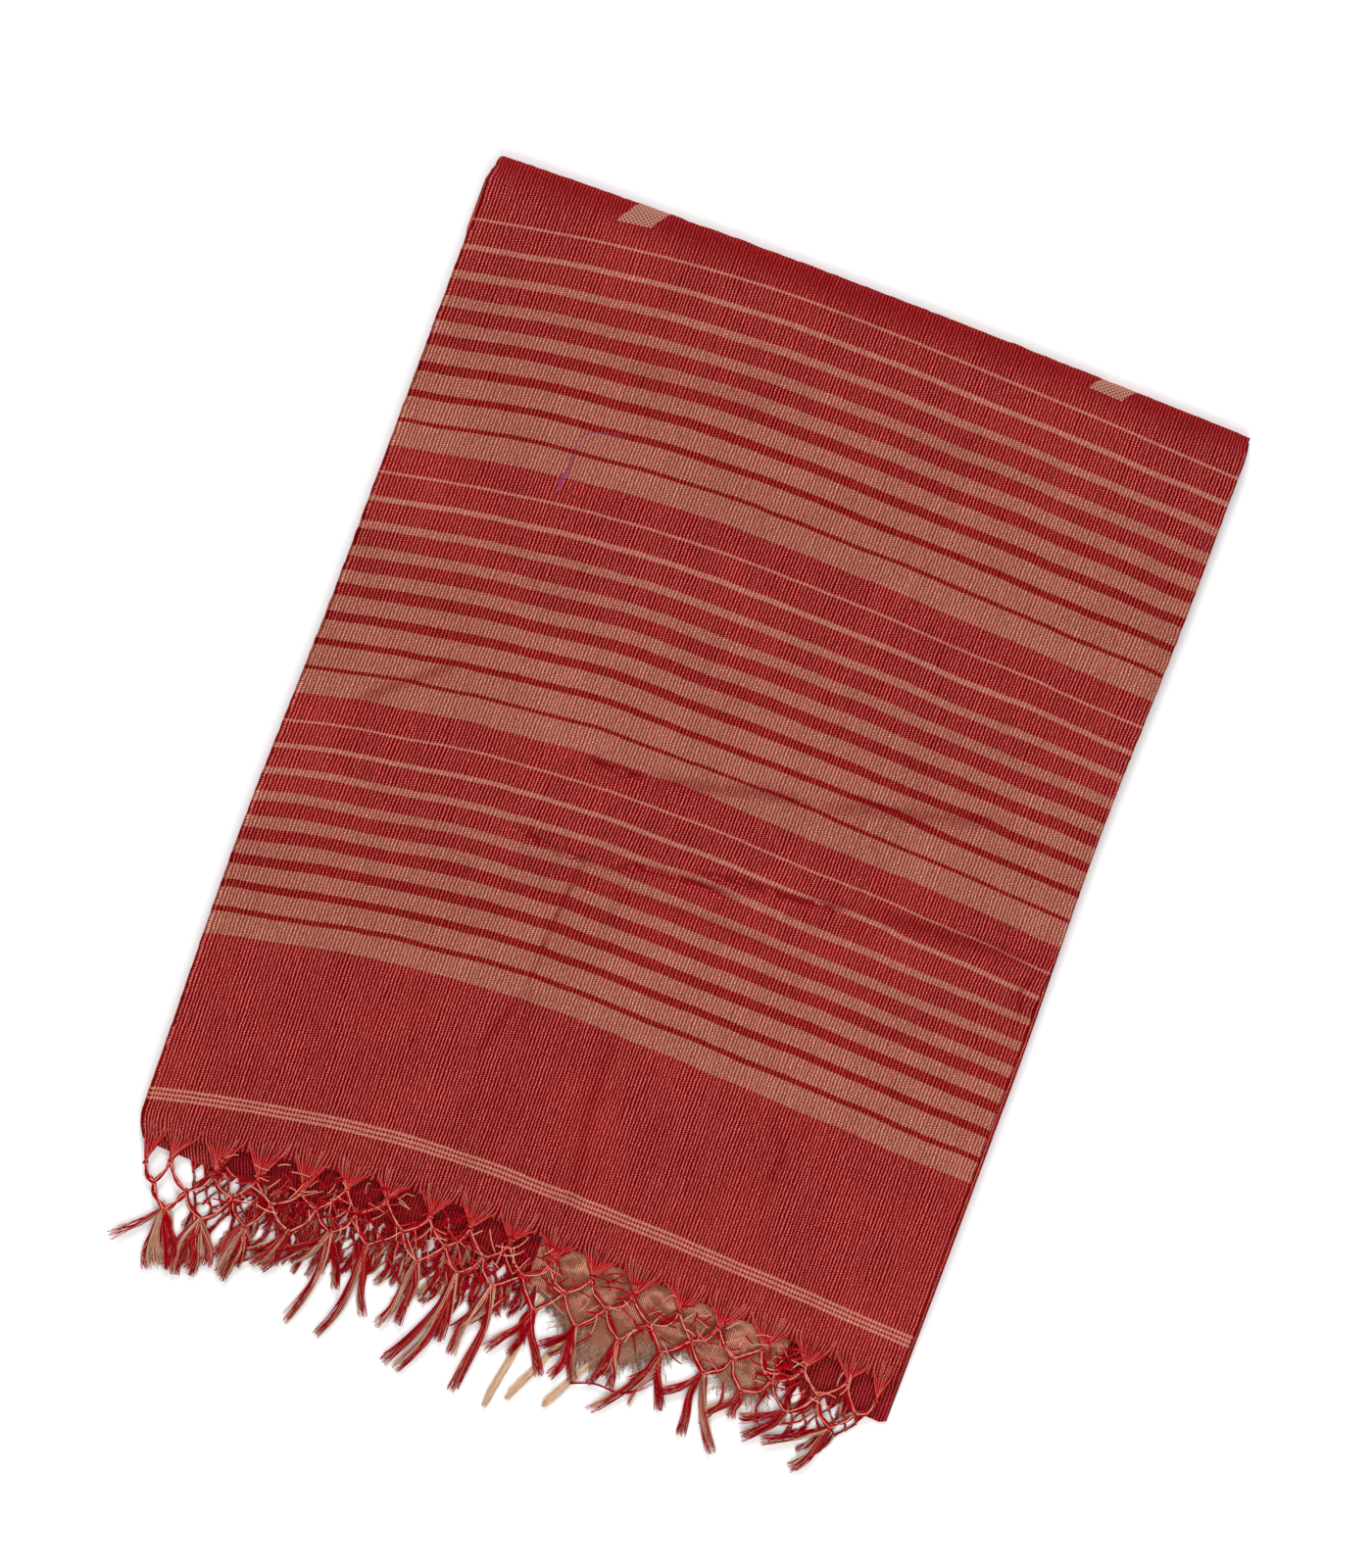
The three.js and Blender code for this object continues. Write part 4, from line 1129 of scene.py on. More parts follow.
def folded_layers_mesh(ply_count):
    """The folded bundle: rounded plies, each lying a little in or out, closed below and above."""
    ply = BODY_TOP / ply_count
    inner_radius = FOLD_RADIUS - PLY - GAP

    def inset(side, ply_number, at):
        """How far a ply lies in from the bundle's outline, wandering along its edge."""
        if side == "left":
            ply_number -= ply_number % 2  # both plies of a panel share the lengthwise fold
        wander = noise.noise(Vector((at / 120, ply_number * 3.7, SIDE_SEEDS[side])))
        fine = noise.noise(Vector((at / 26, ply_number * 5.1, 2.0)))
        out, corner = 0.0, CORNER_PLIES.get(side)
        if corner and at < corner["end"] and ply_number >= corner["ply"]:
            faded = smooth((corner["end"] - at) / corner["fade"])
            out = corner["out"] * faded * smooth((at - corner["start"]) / corner["rise"])
        return PLY_INSET["mean"] + PLY_INSET["wander"] * wander + PLY_INSET["fine"] * fine - out

    def ring(z, ply_number, step):
        groove = PLY_INSET["groove"] * (1 - math.sin(math.pi * clamp(step, 0.02, 0.98)) ** 0.5)
        left_groove = 0.1 if ply_number % 2 == 1 and step < 0.5 else groove
        rise = clamp(z - FOLD_RADIUS, -inner_radius, inner_radius)
        round_in = FOLD_RADIUS - math.sqrt(inner_radius**2 - rise**2)
        head_in = LEDGE["inset"] if z < LEDGE["top"] else round_in
        lip_in = LIP_RADIUS + GAP

        def head_at(u):
            return fold_line(u) + head_in + groove

        def end_at(u):
            wander = abs(inset("hem", ply_number, u) - PLY_INSET["mean"])
            return hem(u) + body_end_drop(z) - groove - 0.6 - wander

        def left_at(v):
            own = inset("left", ply_number, v) + left_groove
            return left_edge(v) + (max(own, lip_in) if v < 7 or z > 7 else max(own, -1.4))

        def right_at(v):
            return right_edge(v) - inset("right", ply_number, v) - groove

        rounding = CORNER_ROUNDING
        points = []
        for share in evenly(0, 1, RING_POINTS["hem"]):
            v = end_at(share * FOLDED_WIDTH) - (rounding if share in (0, 1) else 0)
            points.append((lerp(left_at(v), right_at(v), share), v))
        low, high = end_at(FOLDED_WIDTH) - 3 * rounding, head_at(FOLDED_WIDTH) + rounding
        points += [(right_at(v), v) for v in evenly(low, high, RING_POINTS["right"])]
        for share in evenly(1, 0, RING_POINTS["top"])[1:-1]:
            v = head_at(share * FOLDED_WIDTH)
            points.append((lerp(left_at(v), right_at(v), share), v))
        high, low = head_at(0) + rounding, end_at(0) - 3 * rounding
        points += [(left_at(v), v) for v in evenly(high, low, RING_POINTS["left"])]
        return [(u, v, z) for u, v in points]

    rings = [ring(0.0, 0, 0.1)]
    for number in range(ply_count):
        for step in PLY_STEPS:
            z = (number + step) * ply
            if number or step != PLY_STEPS[0]:
                rings.append(ring(z, number, step))
    rings.append(ring(BODY_TOP, ply_count - 1, 0.97))
    count = len(rings[0])
    points = [point for each in rings for point in each]
    faces = []
    for row in range(len(rings) - 1):
        for i in range(count):
            a, b = row * count + i, row * count + (i + 1) % count
            faces.append((a, b, b + count, a + count))
    for row, up in ((0, False), (len(rings) - 1, True)):
        points.append((FOLDED_WIDTH / 2, PANEL_LENGTH / 2, rings[row][0][2]))
        hub = len(points) - 1
        for i in range(count):
            a, b = row * count + i, row * count + (i + 1) % count
            faces.append((hub, a, b) if up else (hub, b, a))
    mesh = bpy.data.meshes.new("folded_layers")
    mesh.from_pydata([place(*point) for point in points], [], faces)
    weave = mesh.uv_layers.new(name="weave")
    for loop, corner in zip(mesh.loops, weave.data):
        u, v, z = points[loop.vertex_index]
        corner.uv = ((u + WRAP * z) * MM, (v + WRAP * z) * MM)
    soften(mesh)
    return mesh


# ---- yarn ----


def yarn_tree(material):
    """Turns paths into round yarn of each path's own radius, one tint for each path."""
    tree = bpy.data.node_groups.new("Yarn", "GeometryNodeTree")
    sockets = tree.interface
    sockets.new_socket("Geometry", in_out="INPUT", socket_type="NodeSocketGeometry")
    sockets.new_socket("Thickness", in_out="INPUT", socket_type="NodeSocketFloat")
    sockets.new_socket("Sides", in_out="INPUT", socket_type="NodeSocketInt")
    sockets.new_socket("Geometry", in_out="OUTPUT", socket_type="NodeSocketGeometry")
    nodes = Nodes(tree)
    given = nodes.add("NodeGroupInput").outputs
    paths = nodes.add("GeometryNodeMeshToCurve", {}, {"Mesh": given["Geometry"]}).outputs["Curve"]
    radius = nodes.add("GeometryNodeInputNamedAttribute", {"data_type": "FLOAT"}, {"Name": "thickness"})
    factors = {0: radius.outputs["Attribute"], 1: given["Thickness"]}
    scaled = nodes.add("ShaderNodeMath", {"operation": "MULTIPLY"}, factors)
    ring_inputs = {"Resolution": given["Sides"], "Radius": 1.0}
    ring = nodes.add("GeometryNodeCurvePrimitiveCircle", {"mode": "RADIUS"}, ring_inputs)
    tube_inputs = {
        "Curve": paths,
        "Profile Curve": ring.outputs["Curve"],
        "Scale": scaled.outputs[0],
        "Fill Caps": True,
    }
    tube = nodes.add("GeometryNodeCurveToMesh", {}, tube_inputs)
    round_off = nodes.add("GeometryNodeSetShadeSmooth", {}, {"Geometry": tube.outputs["Mesh"]})
    real = nodes.add("GeometryNodeRealizeInstances", {}, {"Geometry": round_off.outputs["Geometry"]})
    dressed = nodes.add(
        "GeometryNodeSetMaterial", {}, {"Geometry": real.outputs["Geometry"], "Material": material}
    )
    nodes.add("NodeGroupOutput", {}, {"Geometry": dressed.outputs["Geometry"]})
    return tree


# Tints run from crimson at 0 through pale at 0.5 to tan at 1.
RED_TINTS = (0, 0, 0.06, 0.1, 0.25)
PALE_TINTS = (0.45, 0.85)
TAN_TINTS = (0.75, 1.0)
LOWEST_YARN = 0.7  # height of a thread's middle where it lies on the floor
KNOT = {"sides": 8, "thickness": 1.7, "tint": 0.05, "paler": 0.25}


class Yarn:
    """Collects the paths of the threads of one piece."""

    def __init__(self, seed):
        self.random = random.Random(seed)
        self.points, self.edges = [], []
        self.thickness, self.tint, self.own = [], [], []

    def add(self, path, thickness, tint, taper=0.35, dullest=0.0, brightest=1.0):
        """One thread through these places (u, v, z), thinner towards its end."""
        first = len(self.points)
        own = lerp(dullest, brightest, self.random.random())
        for i, point in enumerate(path):
            share = i / (len(path) - 1)
            self.points.append(place(point[0], point[1], max(point[2], LOWEST_YARN)))
            self.thickness.append(thickness * (1 - taper * share**4))
            self.tint.append(tint)
            self.own.append(own)
        self.edges += [(first + i, first + i + 1) for i in range(len(path) - 1)]

    def bundle(
        self, path, count, spread, thickness, tan_share,
        twist=0.8, end_spread=1.0, fray=0.0, flat=0.6, pale=False,
    ):
        """Threads lying side by side round a path; the tan ones keep to one side of it.

        spread is the bundle's radius, and end_spread how many times wider its end is.
        """
        tan_side = self.random.uniform(0, math.tau)
        for _ in range(count):
            angle = self.random.uniform(0, math.tau)
            reach = spread * math.sqrt(self.random.uniform(0.05, 1))
            end = 1 - fray * self.random.random() ** 1.5
            bend = self.random.uniform(-0.5, 0.5)
            towards = 0.5 + 0.5 * math.cos(angle - tan_side)
            is_tan = towards > 1 - tan_share and self.random.random() < 0.85
            tint = self.random.uniform(*TAN_TINTS) if is_tan else self.random.choice(RED_TINTS)
            if pale and not is_tan:
                tint = self.random.uniform(*PALE_TINTS)
            thread = []
            steps = len(path) - 1
            for i in range(steps + 1):
                share = i / steps * end
                u, v, z = along(path, share)
                side_u, side_v = sideways_of(path, share - 0.02, share + 0.02)
                turn = angle + twist * math.tau * share
                out = reach * lerp(1, end_spread, share**2)
                sideways = out * math.cos(turn) + bend * end_spread * share**2
                rise = out * math.sin(turn) * flat / max(1, end_spread * share * 0.7)
                thread.append((u + side_u * sideways, v + side_v * sideways, z + rise))
            self.add(thread, thickness, tint, dullest=0.5 if pale else 0.0)

    def knot(self, u, v, z, size, turns=2):
        """A small tight knot: a few wraps one over the other."""
        for wrap in range(turns):
            tilt = self.random.uniform(-0.9, 0.9)
            start = self.random.uniform(0, math.tau)
            path = []
            for i in range(KNOT["sides"] + 1):
                turn = start + math.tau * i / KNOT["sides"]
                across, up = size * math.cos(turn), size * 0.75 * math.sin(turn)
                down = (wrap - (turns - 1) / 2) * size * 0.8 + 0.3 * size * math.sin(turn + 1)
                path.append((
                    u + across * math.cos(tilt) - down * math.sin(tilt),
                    v + across * math.sin(tilt) + down * math.cos(tilt),
                    z + up,
                ))
            tint = KNOT["tint"] + (0 if wrap % 2 else KNOT["paler"])
            self.add(path, KNOT["thickness"], tint, taper=0)

    def piece(self, name, material, slot, sides=4):
        """The threads as one plain mesh."""
        mesh = bpy.data.meshes.new(name + "_paths")
        mesh.from_pydata(self.points, self.edges, [])
        for key, values in (("thickness", self.thickness), ("tint", self.tint), ("own", self.own)):
            mesh.attributes.new(key, "FLOAT", "POINT").data.foreach_set("value", values)
        paths = bpy.data.objects.new(name + "_paths", mesh)
        bpy.context.scene.collection.objects.link(paths)
        tree = yarn_tree(material)
        modifier = paths.modifiers.new("Yarn", "NODES")
        modifier.node_group = tree
        wanted = {"Thickness": bpy.context.scene.sari_sizes.yarn_radius, "Sides": sides}
        for socket in tree.interface.items_tree:
            if socket.in_out == "INPUT" and socket.name in wanted:
                modifier[socket.identifier] = wanted[socket.name]
        graph = bpy.context.evaluated_depsgraph_get()
        solid = bpy.data.meshes.new_from_object(paths.evaluated_get(graph), depsgraph=graph)
        solid.name = name
        bpy.data.objects.remove(paths)
        bpy.data.meshes.remove(mesh)
        if not solid.polygons:
            raise RuntimeError(f"{name} has no yarn")
        return place_piece(name, solid, material)


def along(path, share):
    """A place at a share of a path, on straight runs between its points."""
    at = clamp(share, 0, 1) * (len(path) - 1)
    i = min(int(at), len(path) - 2)
    return tuple(lerp(a, b, at - i) for a, b in zip(path[i], path[i + 1]))


def sideways_of(path, before, after):
    """The level direction square to a path, between two shares of it."""
    last_u, last_v, _ = along(path, before)
    next_u, next_v, _ = along(path, after)
    run = math.hypot(next_u - last_u, next_v - last_v) or 1.0
    return -(next_v - last_v) / run, (next_u - last_u) / run


def curved(corners, steps):
    """A smooth path through its corners (u, v, z), as a Catmull-Rom curve."""
    ends = [corners[0], *corners, corners[-1]]
    path = []
    spans = len(corners) - 1
    for k in range(steps + 1):
        at = k / steps * spans
        i = min(int(at), spans - 1)
        t = at - i
        p0, p1, p2, p3 = ends[i : i + 4]
        path.append(tuple(
            0.5 * (
                2 * b + (c - a) * t + (2 * a - 5 * b + 4 * c - d) * t * t + (3 * b - a - 3 * c + d) * t**3
            )
            for a, b, c, d in zip(p0, p1, p2, p3)
        ))
    return path


# How far a knot strays in the worn left part of the net and in the right one, and where it changes.
KNOT_STRAY = {"left": 8.0, "right": 4.0, "from": 310, "length": 60}


def between(row, step):
    """The knots of the next row, less even in the worn left part."""
    knots = []
    for one, two in zip(row, row[1:]):
        u, drop = (one[0] + two[0]) / 2, (one[1] + two[1]) / 2 + step
        rightness = smooth((u - KNOT_STRAY["from"]) / KNOT_STRAY["length"])
        loose = lerp(KNOT_STRAY["left"], KNOT_STRAY["right"], rightness)
        knots.append((u + ripple(u, step, 7, loose, 20.0), drop + ripple(u, step, 7, 0.7 * loose, 21.0)))
    return knots


def net_place(bunch):
    u, drop = bunch
    return (u, hem(u) + drop, net_height(drop))


KNOT_ROWS = [list(BUNCHES)]
for _step in ROW_STEPS:
    KNOT_ROWS.append(between(KNOT_ROWS[-1], _step))


# Pale (True) and red warp ends: their pitch along the hem, thickness and lift off the cloth.
FAN = {
    True: {"pitch": 3.2, "thickness": 0.52, "lift": 0.3},
    False: {"pitch": 0.85, "thickness": 1.15, "lift": 0.05},
}
FAN_PALE_TINTS = (0.45, 0.8)
FAN_RED_TINTS = (0, 0, 0, 0.08)


def add_fans(yarn):
    """The warp ends run out of the weave and gather into each first knot."""
    for number, bunch in enumerate(BUNCHES):
        knot = net_place(bunch)
        left, right = BUNCH_ENDS[number], BUNCH_ENDS[number + 1]
        for pale in (False, True):
            fan = FAN[pale]
            count = round((right - left) / fan["pitch"])
            for i in range(count):
                root_u = lerp(left, right, (i + 0.5) / count) + yarn.random.uniform(-0.4, 0.4)
                root_u = clamp(root_u, left_edge(hem(root_u) - 8) + 4, upper_right_edge(PANEL_LENGTH) - 1)
                pull = bunch[0] - root_u
                hem_v = scalloped_hem(root_u)
                slack = yarn.random.uniform(-0.7, 0.7)
                # Places on the way: share of the pull towards the knot, v, and height over the cloth.
                ends = [
                    (0.3, hem_v, 0.2),
                    (yarn.random.uniform(0.6, 0.72), lerp(hem_v, knot[1], 0.45), 0.3),
                    (yarn.random.uniform(0.85, 0.95), lerp(hem_v, knot[1], 0.78), 0.5),
                ]
                if pale:
                    up = yarn.random.uniform(2, 16)
                    ends = [(0.02, hem_v - up, 0.0), (0.12, hem_v - up * 0.45, 0.0), *ends]
                else:
                    ends = [(0.2, hem_v - 2.0, 0.0), *ends]
                corners = []
                for share, v, rise in ends:
                    u = root_u + pull * share + (slack if share > 0.5 else 0)
                    cloth_z = upper_height(u, min(v, hem(u)))
                    sink = smooth((v - hem(u)) / max(knot[1] - hem(u), 1))
                    corners.append((u, v, lerp(cloth_z, knot[2], sink) + fan["lift"] + rise))
                spread = yarn.random.uniform(-0.9, 0.9)
                corners.append((knot[0] + spread, knot[1], knot[2] + yarn.random.uniform(-0.5, 0.6)))
                if pale:
                    tint = yarn.random.uniform(*FAN_PALE_TINTS)
                else:
                    tint = yarn.random.choice(FAN_RED_TINTS)
                yarn.add(curved(corners, 8), fan["thickness"], tint, taper=0)


def plied(path, gap, turns, phase):
    """Two paths that wind round each other along one path."""
    pair = []
    steps = len(path) - 1
    for half_turn in (0.0, math.pi):
        wound = []
        for i in range(steps + 1):
            u, v, z = path[i]
            side_u, side_v = sideways_of(path, (i - 0.5) / steps, (i + 0.5) / steps)
            turn = phase + half_turn + turns * math.tau * i / steps
            apart = gap * math.sin(math.pi * clamp(i / steps, 0.08, 0.92)) ** 0.5
            out, up = apart * math.cos(turn), apart * 0.5 * math.sin(turn)
            wound.append((u + side_u * out, v + side_v * out, z + up))
        pair.append(wound)
    return pair


LEG = {"count": 9, "thickness": 1.05, "tan_share": 0.0}
PALE_CORD = {"count": 3, "spread": 0.4, "thickness": 0.85, "tan_share": 0.2, "flat": 1.0, "pale": True}
PALE_CORD_LIFT = 0.8


def add_leg(yarn, start, end, spread, slack):
    """One leg of the net: two bundles wound loosely round each other, with pale threads over them."""
    middle = (
        (start[0] + end[0]) / 2 + slack[0],
        (start[1] + end[1]) / 2 + slack[1],
        (start[2] + end[2]) / 2,
    )
    path = curved((start, middle, end), 8)
    turns, phase = yarn.random.uniform(0.3, 0.9), yarn.random.uniform(0, math.tau)
    for strand in plied(path, spread * 0.8, turns, phase):
        twist = yarn.random.uniform(-1, 1)
        yarn.bundle(strand, spread=spread * 0.62, twist=twist, **LEG)
    lift = PALE_CORD_LIFT
    over_u, over_v = middle[0] + yarn.random.uniform(-2, 2), middle[1] + yarn.random.uniform(-1.2, 1.2)
    ends = (start[0], start[1], start[2] + lift), (end[0], end[1], end[2] + lift)
    cord = curved((ends[0], (over_u, over_v, middle[2] + 1.2), ends[1]), 9)
    yarn.bundle(cord, twist=yarn.random.uniform(1.2, 2.4), **PALE_CORD)


def add_net(yarn, leg_radius):
    """The knotted net of the end piece."""
    for upper, lower in zip(KNOT_ROWS, KNOT_ROWS[1:]):
        for i, bunch in enumerate(lower):
            for side in (0, 1):
                start, end = net_place(upper[i + side]), net_place(bunch)
                slack = (yarn.random.uniform(0.2, 3.2) * (1 if side else -1), yarn.random.uniform(0, 2.6))
                add_leg(yarn, start, end, leg_radius, slack)
    for row in KNOT_ROWS:
        for bunch in row:
            yarn.knot(*net_place(bunch), 1.7, turns=3)


LOOSE_BENDS = 3
LOOSE_SPAN = {"left": 10, "right": 578, "high": 2, "low": 60}  # u and drop that they stay between


def add_loose_ends(yarn, count):
    """Pale and red ends that have worked loose and lie across the net."""
    for red, first_u, last_u, share in LOOSE_ENDS:
        for _ in range(round(count * share)):
            u, drop = yarn.random.uniform(first_u, last_u), yarn.random.uniform(4, 40)
            heading, length = yarn.random.gauss(0.2, 0.8), yarn.random.uniform(8, 18)
            curl = yarn.random.uniform(-0.25, 0.25)
            corners = []
            for i in range(LOOSE_BENDS + 1):
                height = net_height(drop) + 0.9 + 0.5 * math.sin(math.pi * i / LOOSE_BENDS)
                at_u = clamp(u, LOOSE_SPAN["left"], LOOSE_SPAN["right"])
                corners.append((at_u, hem(u) + drop, height))
                heading += curl
                u += math.cos(heading) * length / LOOSE_BENDS
                drop += math.sin(heading) * length / LOOSE_BENDS
                drop = clamp(drop, LOOSE_SPAN["high"], LOOSE_SPAN["low"])
            if red:
                thickness, tint = yarn.random.uniform(1.4, 2.0), yarn.random.choice((0, 0.05, 0.15))
                yarn.add(curved(corners, 7), thickness, tint, taper=0.2)
            else:
                thickness, tint = yarn.random.uniform(0.9, 1.4), yarn.random.uniform(0.45, 0.8)
                yarn.add(curved(corners, 9), thickness, tint, taper=0.2, dullest=0.4)


def tassel_level(drop):
    return lerp(TASSEL["level"], TASSEL["tip"], smooth((drop - TASSEL["from"]) / TASSEL["length"]))


def add_tassels(yarn):
    knots = KNOT_ROWS[-1]
    for bunch, tip_u, tip_drop, belly, count, tan in TASSELS:
        root = knots[clamp(bunch - 1, 0, len(knots) - 1)]

        def at(share, sideways):
            u = lerp(root[0], tip_u, share) + sideways * math.sin(math.pi * share)
            drop = lerp(root[1], tip_drop, share)
            return (u, hem(u) + drop, tassel_level(drop))

        sway = yarn.random.uniform(-1.8, 1.8)
        corners = (net_place(root), at(0.35, belly + sway), at(0.7, belly - sway), at(1, 0))
        path = curved(corners, 11)
        full = round(count * TASSEL["fullness"])
        yarn.bundle(path, full, tan_share=TASSEL["tan"] * tan, **TASSEL_THREADS)
        yarn.bundle(path, tan_share=tan, pale=True, **TASSEL_PALE_THREADS)
    for corners, count, tan in WISPS:
        path = [(u, hem(u) + drop, tassel_level(drop)) for u, drop in corners]
        yarn.bundle(curved(path, 9), count * 2, tan_share=tan, **WISP)


def add_lower_net(yarn, net):
    """The finer, slacker net of the lower half, as far as it shows under the upper one."""
    count = round((net["to"] - net["from"]) / net["pitch"])
    knots = []
    for i in range(count):
        middle = net["from"] + (i + 0.5) * net["pitch"] + yarn.random.uniform(-1, 1)
        strip = hem(middle) + lower_hem_drop(middle)
        knots.append((middle, strip + yarn.random.uniform(5, 9), 1.2))
        for k in range(ENDS_IN_BUNCH):
            root_u = middle + (k / (ENDS_IN_BUNCH - 1) - 0.5) * net["pitch"]
            root_drop = lower_hem_drop(root_u)
            root = (root_u, hem(root_u) + root_drop - 1, lower_height(root_drop) + 0.1)
            bend = (lerp(root_u, middle, 0.45), strip + 3, 1.4)
            tint = 0.5 if k % PALE_EVERY == 0 else yarn.random.choice((0, 0.1))
            yarn.add(curved((root, bend, knots[-1]), 4), 1.0, tint, taper=0)
    for _row in range(net["rows"]):
        lower = []
        for one, two in zip(knots, knots[1:]):
            low_v = (one[1] + two[1]) / 2 + net["step"] + yarn.random.uniform(-1.5, 1.5)
            low = ((one[0] + two[0]) / 2 + yarn.random.uniform(-1.6, 1), low_v, 1.05)
            for end in (one, two):
                slack = (yarn.random.uniform(-1.2, 1.2), yarn.random.uniform(-0.5, 1.5))
                middle = ((end[0] + low[0]) / 2 + slack[0], (end[1] + low[1]) / 2 + slack[1], 1.05)
                yarn.bundle(curved((end, middle, low), 4), 8, net["leg"], 1.05, 0.15)
            lower.append(low)
        for each in knots:
            yarn.knot(*each, 0.8)
        knots = lower
    for u, v, z in knots:
        lean, length = yarn.random.uniform(-16, 0), yarn.random.uniform(10, 26)
        corners = ((u, v, z), (u + lean * 0.4 + 1, v + length * 0.5, 0.95), (u + lean, v + length, 0.9))
        yarn.bundle(curved(corners, 6), tan_share=yarn.random.choice((0.1, 0.3, 0.6)), **LOWER_TASSEL)
    for _ in range(net["tufts"]):
        u = yarn.random.uniform(*net["tufted"])
        v = hem(u) + yarn.random.uniform(20, 50)
        lean, length = yarn.random.uniform(-14, 6), yarn.random.uniform(14, 28)
        corners = ((u, v, 1.5), (u + lean * 0.3, v + length * 0.5, 1.4), (u + lean, v + length, 1.0))
        yarn.bundle(curved(corners, 6), tan_share=yarn.random.choice((0, 0.1, 0.5)), **LOWER_TUFT)


LOCK_THREADS = 90
LOCK_THREAD, FLUFF_THREAD = 0.7, 0.8  # thickness


def add_locks(yarn):
    """Untwisted tan locks and loose fluff at the plain end."""
    strip = PLAIN_END["hem"] + GAP
    top = plain_end_height(PLAIN_END["hem"])
    for root_u, tip_u, tip_drop in PLAIN_LOCKS:
        start = (root_u, hem(root_u) + strip + flap_length(root_u) - 3, 1.2)
        bend = ((root_u + tip_u) / 2 + 1.5, (start[1] + hem(root_u) + tip_drop) / 2, 1.1)
        end = (tip_u, hem(root_u) + tip_drop, 1.3)
        for _ in range(LOCK_THREADS):
            wave, size = yarn.random.uniform(0, math.tau), yarn.random.uniform(0.2, 0.9)
            shift, cut = clamp(yarn.random.gauss(0, 1.0), -1.9, 1.9), 1 - 0.12 * yarn.random.random() ** 2
            path = []
            for u, v, z in curved((start, bend, end), 9):
                share = (v - start[1]) / (end[1] - start[1])
                swing = size * math.sin(wave + share * 12) + shift * (0.8 + 0.3 * share)
                rise = 0.4 * math.sin(wave * 3 + share * 5)
                path.append((u + swing, start[1] + (v - start[1]) * cut, z + rise))
            yarn.add(path, LOCK_THREAD, yarn.random.uniform(0.92, 1.0), dullest=0.8, brightest=1.4)
    for middle_u, reach, longest, count, dullest in PLAIN_FLUFF:
        for _ in range(count):
            u = middle_u + reach * yarn.random.uniform(-1, 1)
            length = longest * (1 - 0.8 * ((u - middle_u) / reach) ** 2) * yarn.random.uniform(0.3, 1)
            lean, curl = yarn.random.uniform(-0.7, 0.6), yarn.random.uniform(-6, 6)
            start_v = hem(u) + strip + flap_length(u) - yarn.random.uniform(1, 6)
            start_z = max(top + 0.1 - 0.12 * flap_length(u), 1.6)
            corners = (
                (u, start_v, start_z),
                (u + lean * length * 0.4 + curl, start_v + length * 0.45, 2.1),
                (u + lean * length - curl * 0.5, start_v + length * 0.8, 1.6),
                (u + lean * length - curl, start_v + length, 0.9),
            )
            tint = yarn.random.uniform(0.68, 0.95)
            # The fluff is kept dark: partly its own grey-brown, partly painted shade.
            yarn.add(curved(corners, 7), FLUFF_THREAD, tint, dullest=dullest, brightest=0.15)


# ---- operators ----


class SARI_OT_end_piece(bpy.types.Operator):
    """Lay the striped end piece over the folded bundle"""

    bl_idname = "sari.end_piece"
    bl_label = "End Piece"

    def execute(self, context):
        mesh = end_piece_mesh(context.scene.sari_sizes.cloth_thickness)
        material = cloth_material("striped_handloom", True)
        piece = place_piece("end_piece", mesh, material)
        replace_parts(piece, "end_piece_upper")
        return {"FINISHED"}


class SARI_OT_lower_half(bpy.types.Operator):
    """Lay the half that shows under the end piece's hem and along its right edge"""

    bl_idname = "sari.lower_half"
    bl_label = "Lower Half"

    def execute(self, context):
        mesh = lower_half_mesh(context.scene.sari_sizes.cloth_thickness)
        piece = place_piece("lower_half", mesh, cloth_material("red_handloom", False))
        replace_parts(piece, "end_piece_lower")
        return {"FINISHED"}


class SARI_OT_folded_layers(bpy.types.Operator):
    """Stack the plies of the folded bundle"""

    bl_idname = "sari.folded_layers"
    bl_label = "Folded Layers"

    def execute(self, context):
        mesh = folded_layers_mesh(context.scene.sari_sizes.ply_count)
        piece = place_piece("folded_layers", mesh, cloth_material("field_handloom", False))
        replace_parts(piece, "folded_body")
        return {"FINISHED"}


class SARI_OT_plain_end(bpy.types.Operator):
    """Lay the crumpled tan end between the two halves"""

    bl_idname = "sari.plain_end"
    bl_label = "Plain End"

    def execute(self, context):
        mesh = plain_end_mesh(context.scene.sari_sizes.cloth_thickness)
        piece = place_piece("plain_tan_end", mesh, plain_end_material())
        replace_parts(piece, "plain_end")
        return {"FINISHED"}


class SARI_OT_fringe(bpy.types.Operator):
    """Gather the warp ends, tie the net and hang the tassels of the end piece"""

    bl_idname = "sari.fringe"
    bl_label = "Knotted Fringe"

    def execute(self, context):
        sizes = context.scene.sari_sizes
        material = yarn_material("fringe_yarn")
        fans = Yarn(sizes.seed)
        add_fans(fans)
        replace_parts(fans.piece("fringe_fans", material, "fringe_yarn"), "fringe_upper")
        net = Yarn(sizes.seed + 1)
        add_net(net, sizes.leg_radius / MM)
        add_loose_ends(net, sizes.loose_ends)
        net.piece("fringe_net", material, "fringe_yarn", sides=4)
        tassels = Yarn(sizes.seed + 2)
        add_tassels(tassels)
        tassels.piece("fringe_tassels", material, "fringe_yarn", sides=3)
        return {"FINISHED"}


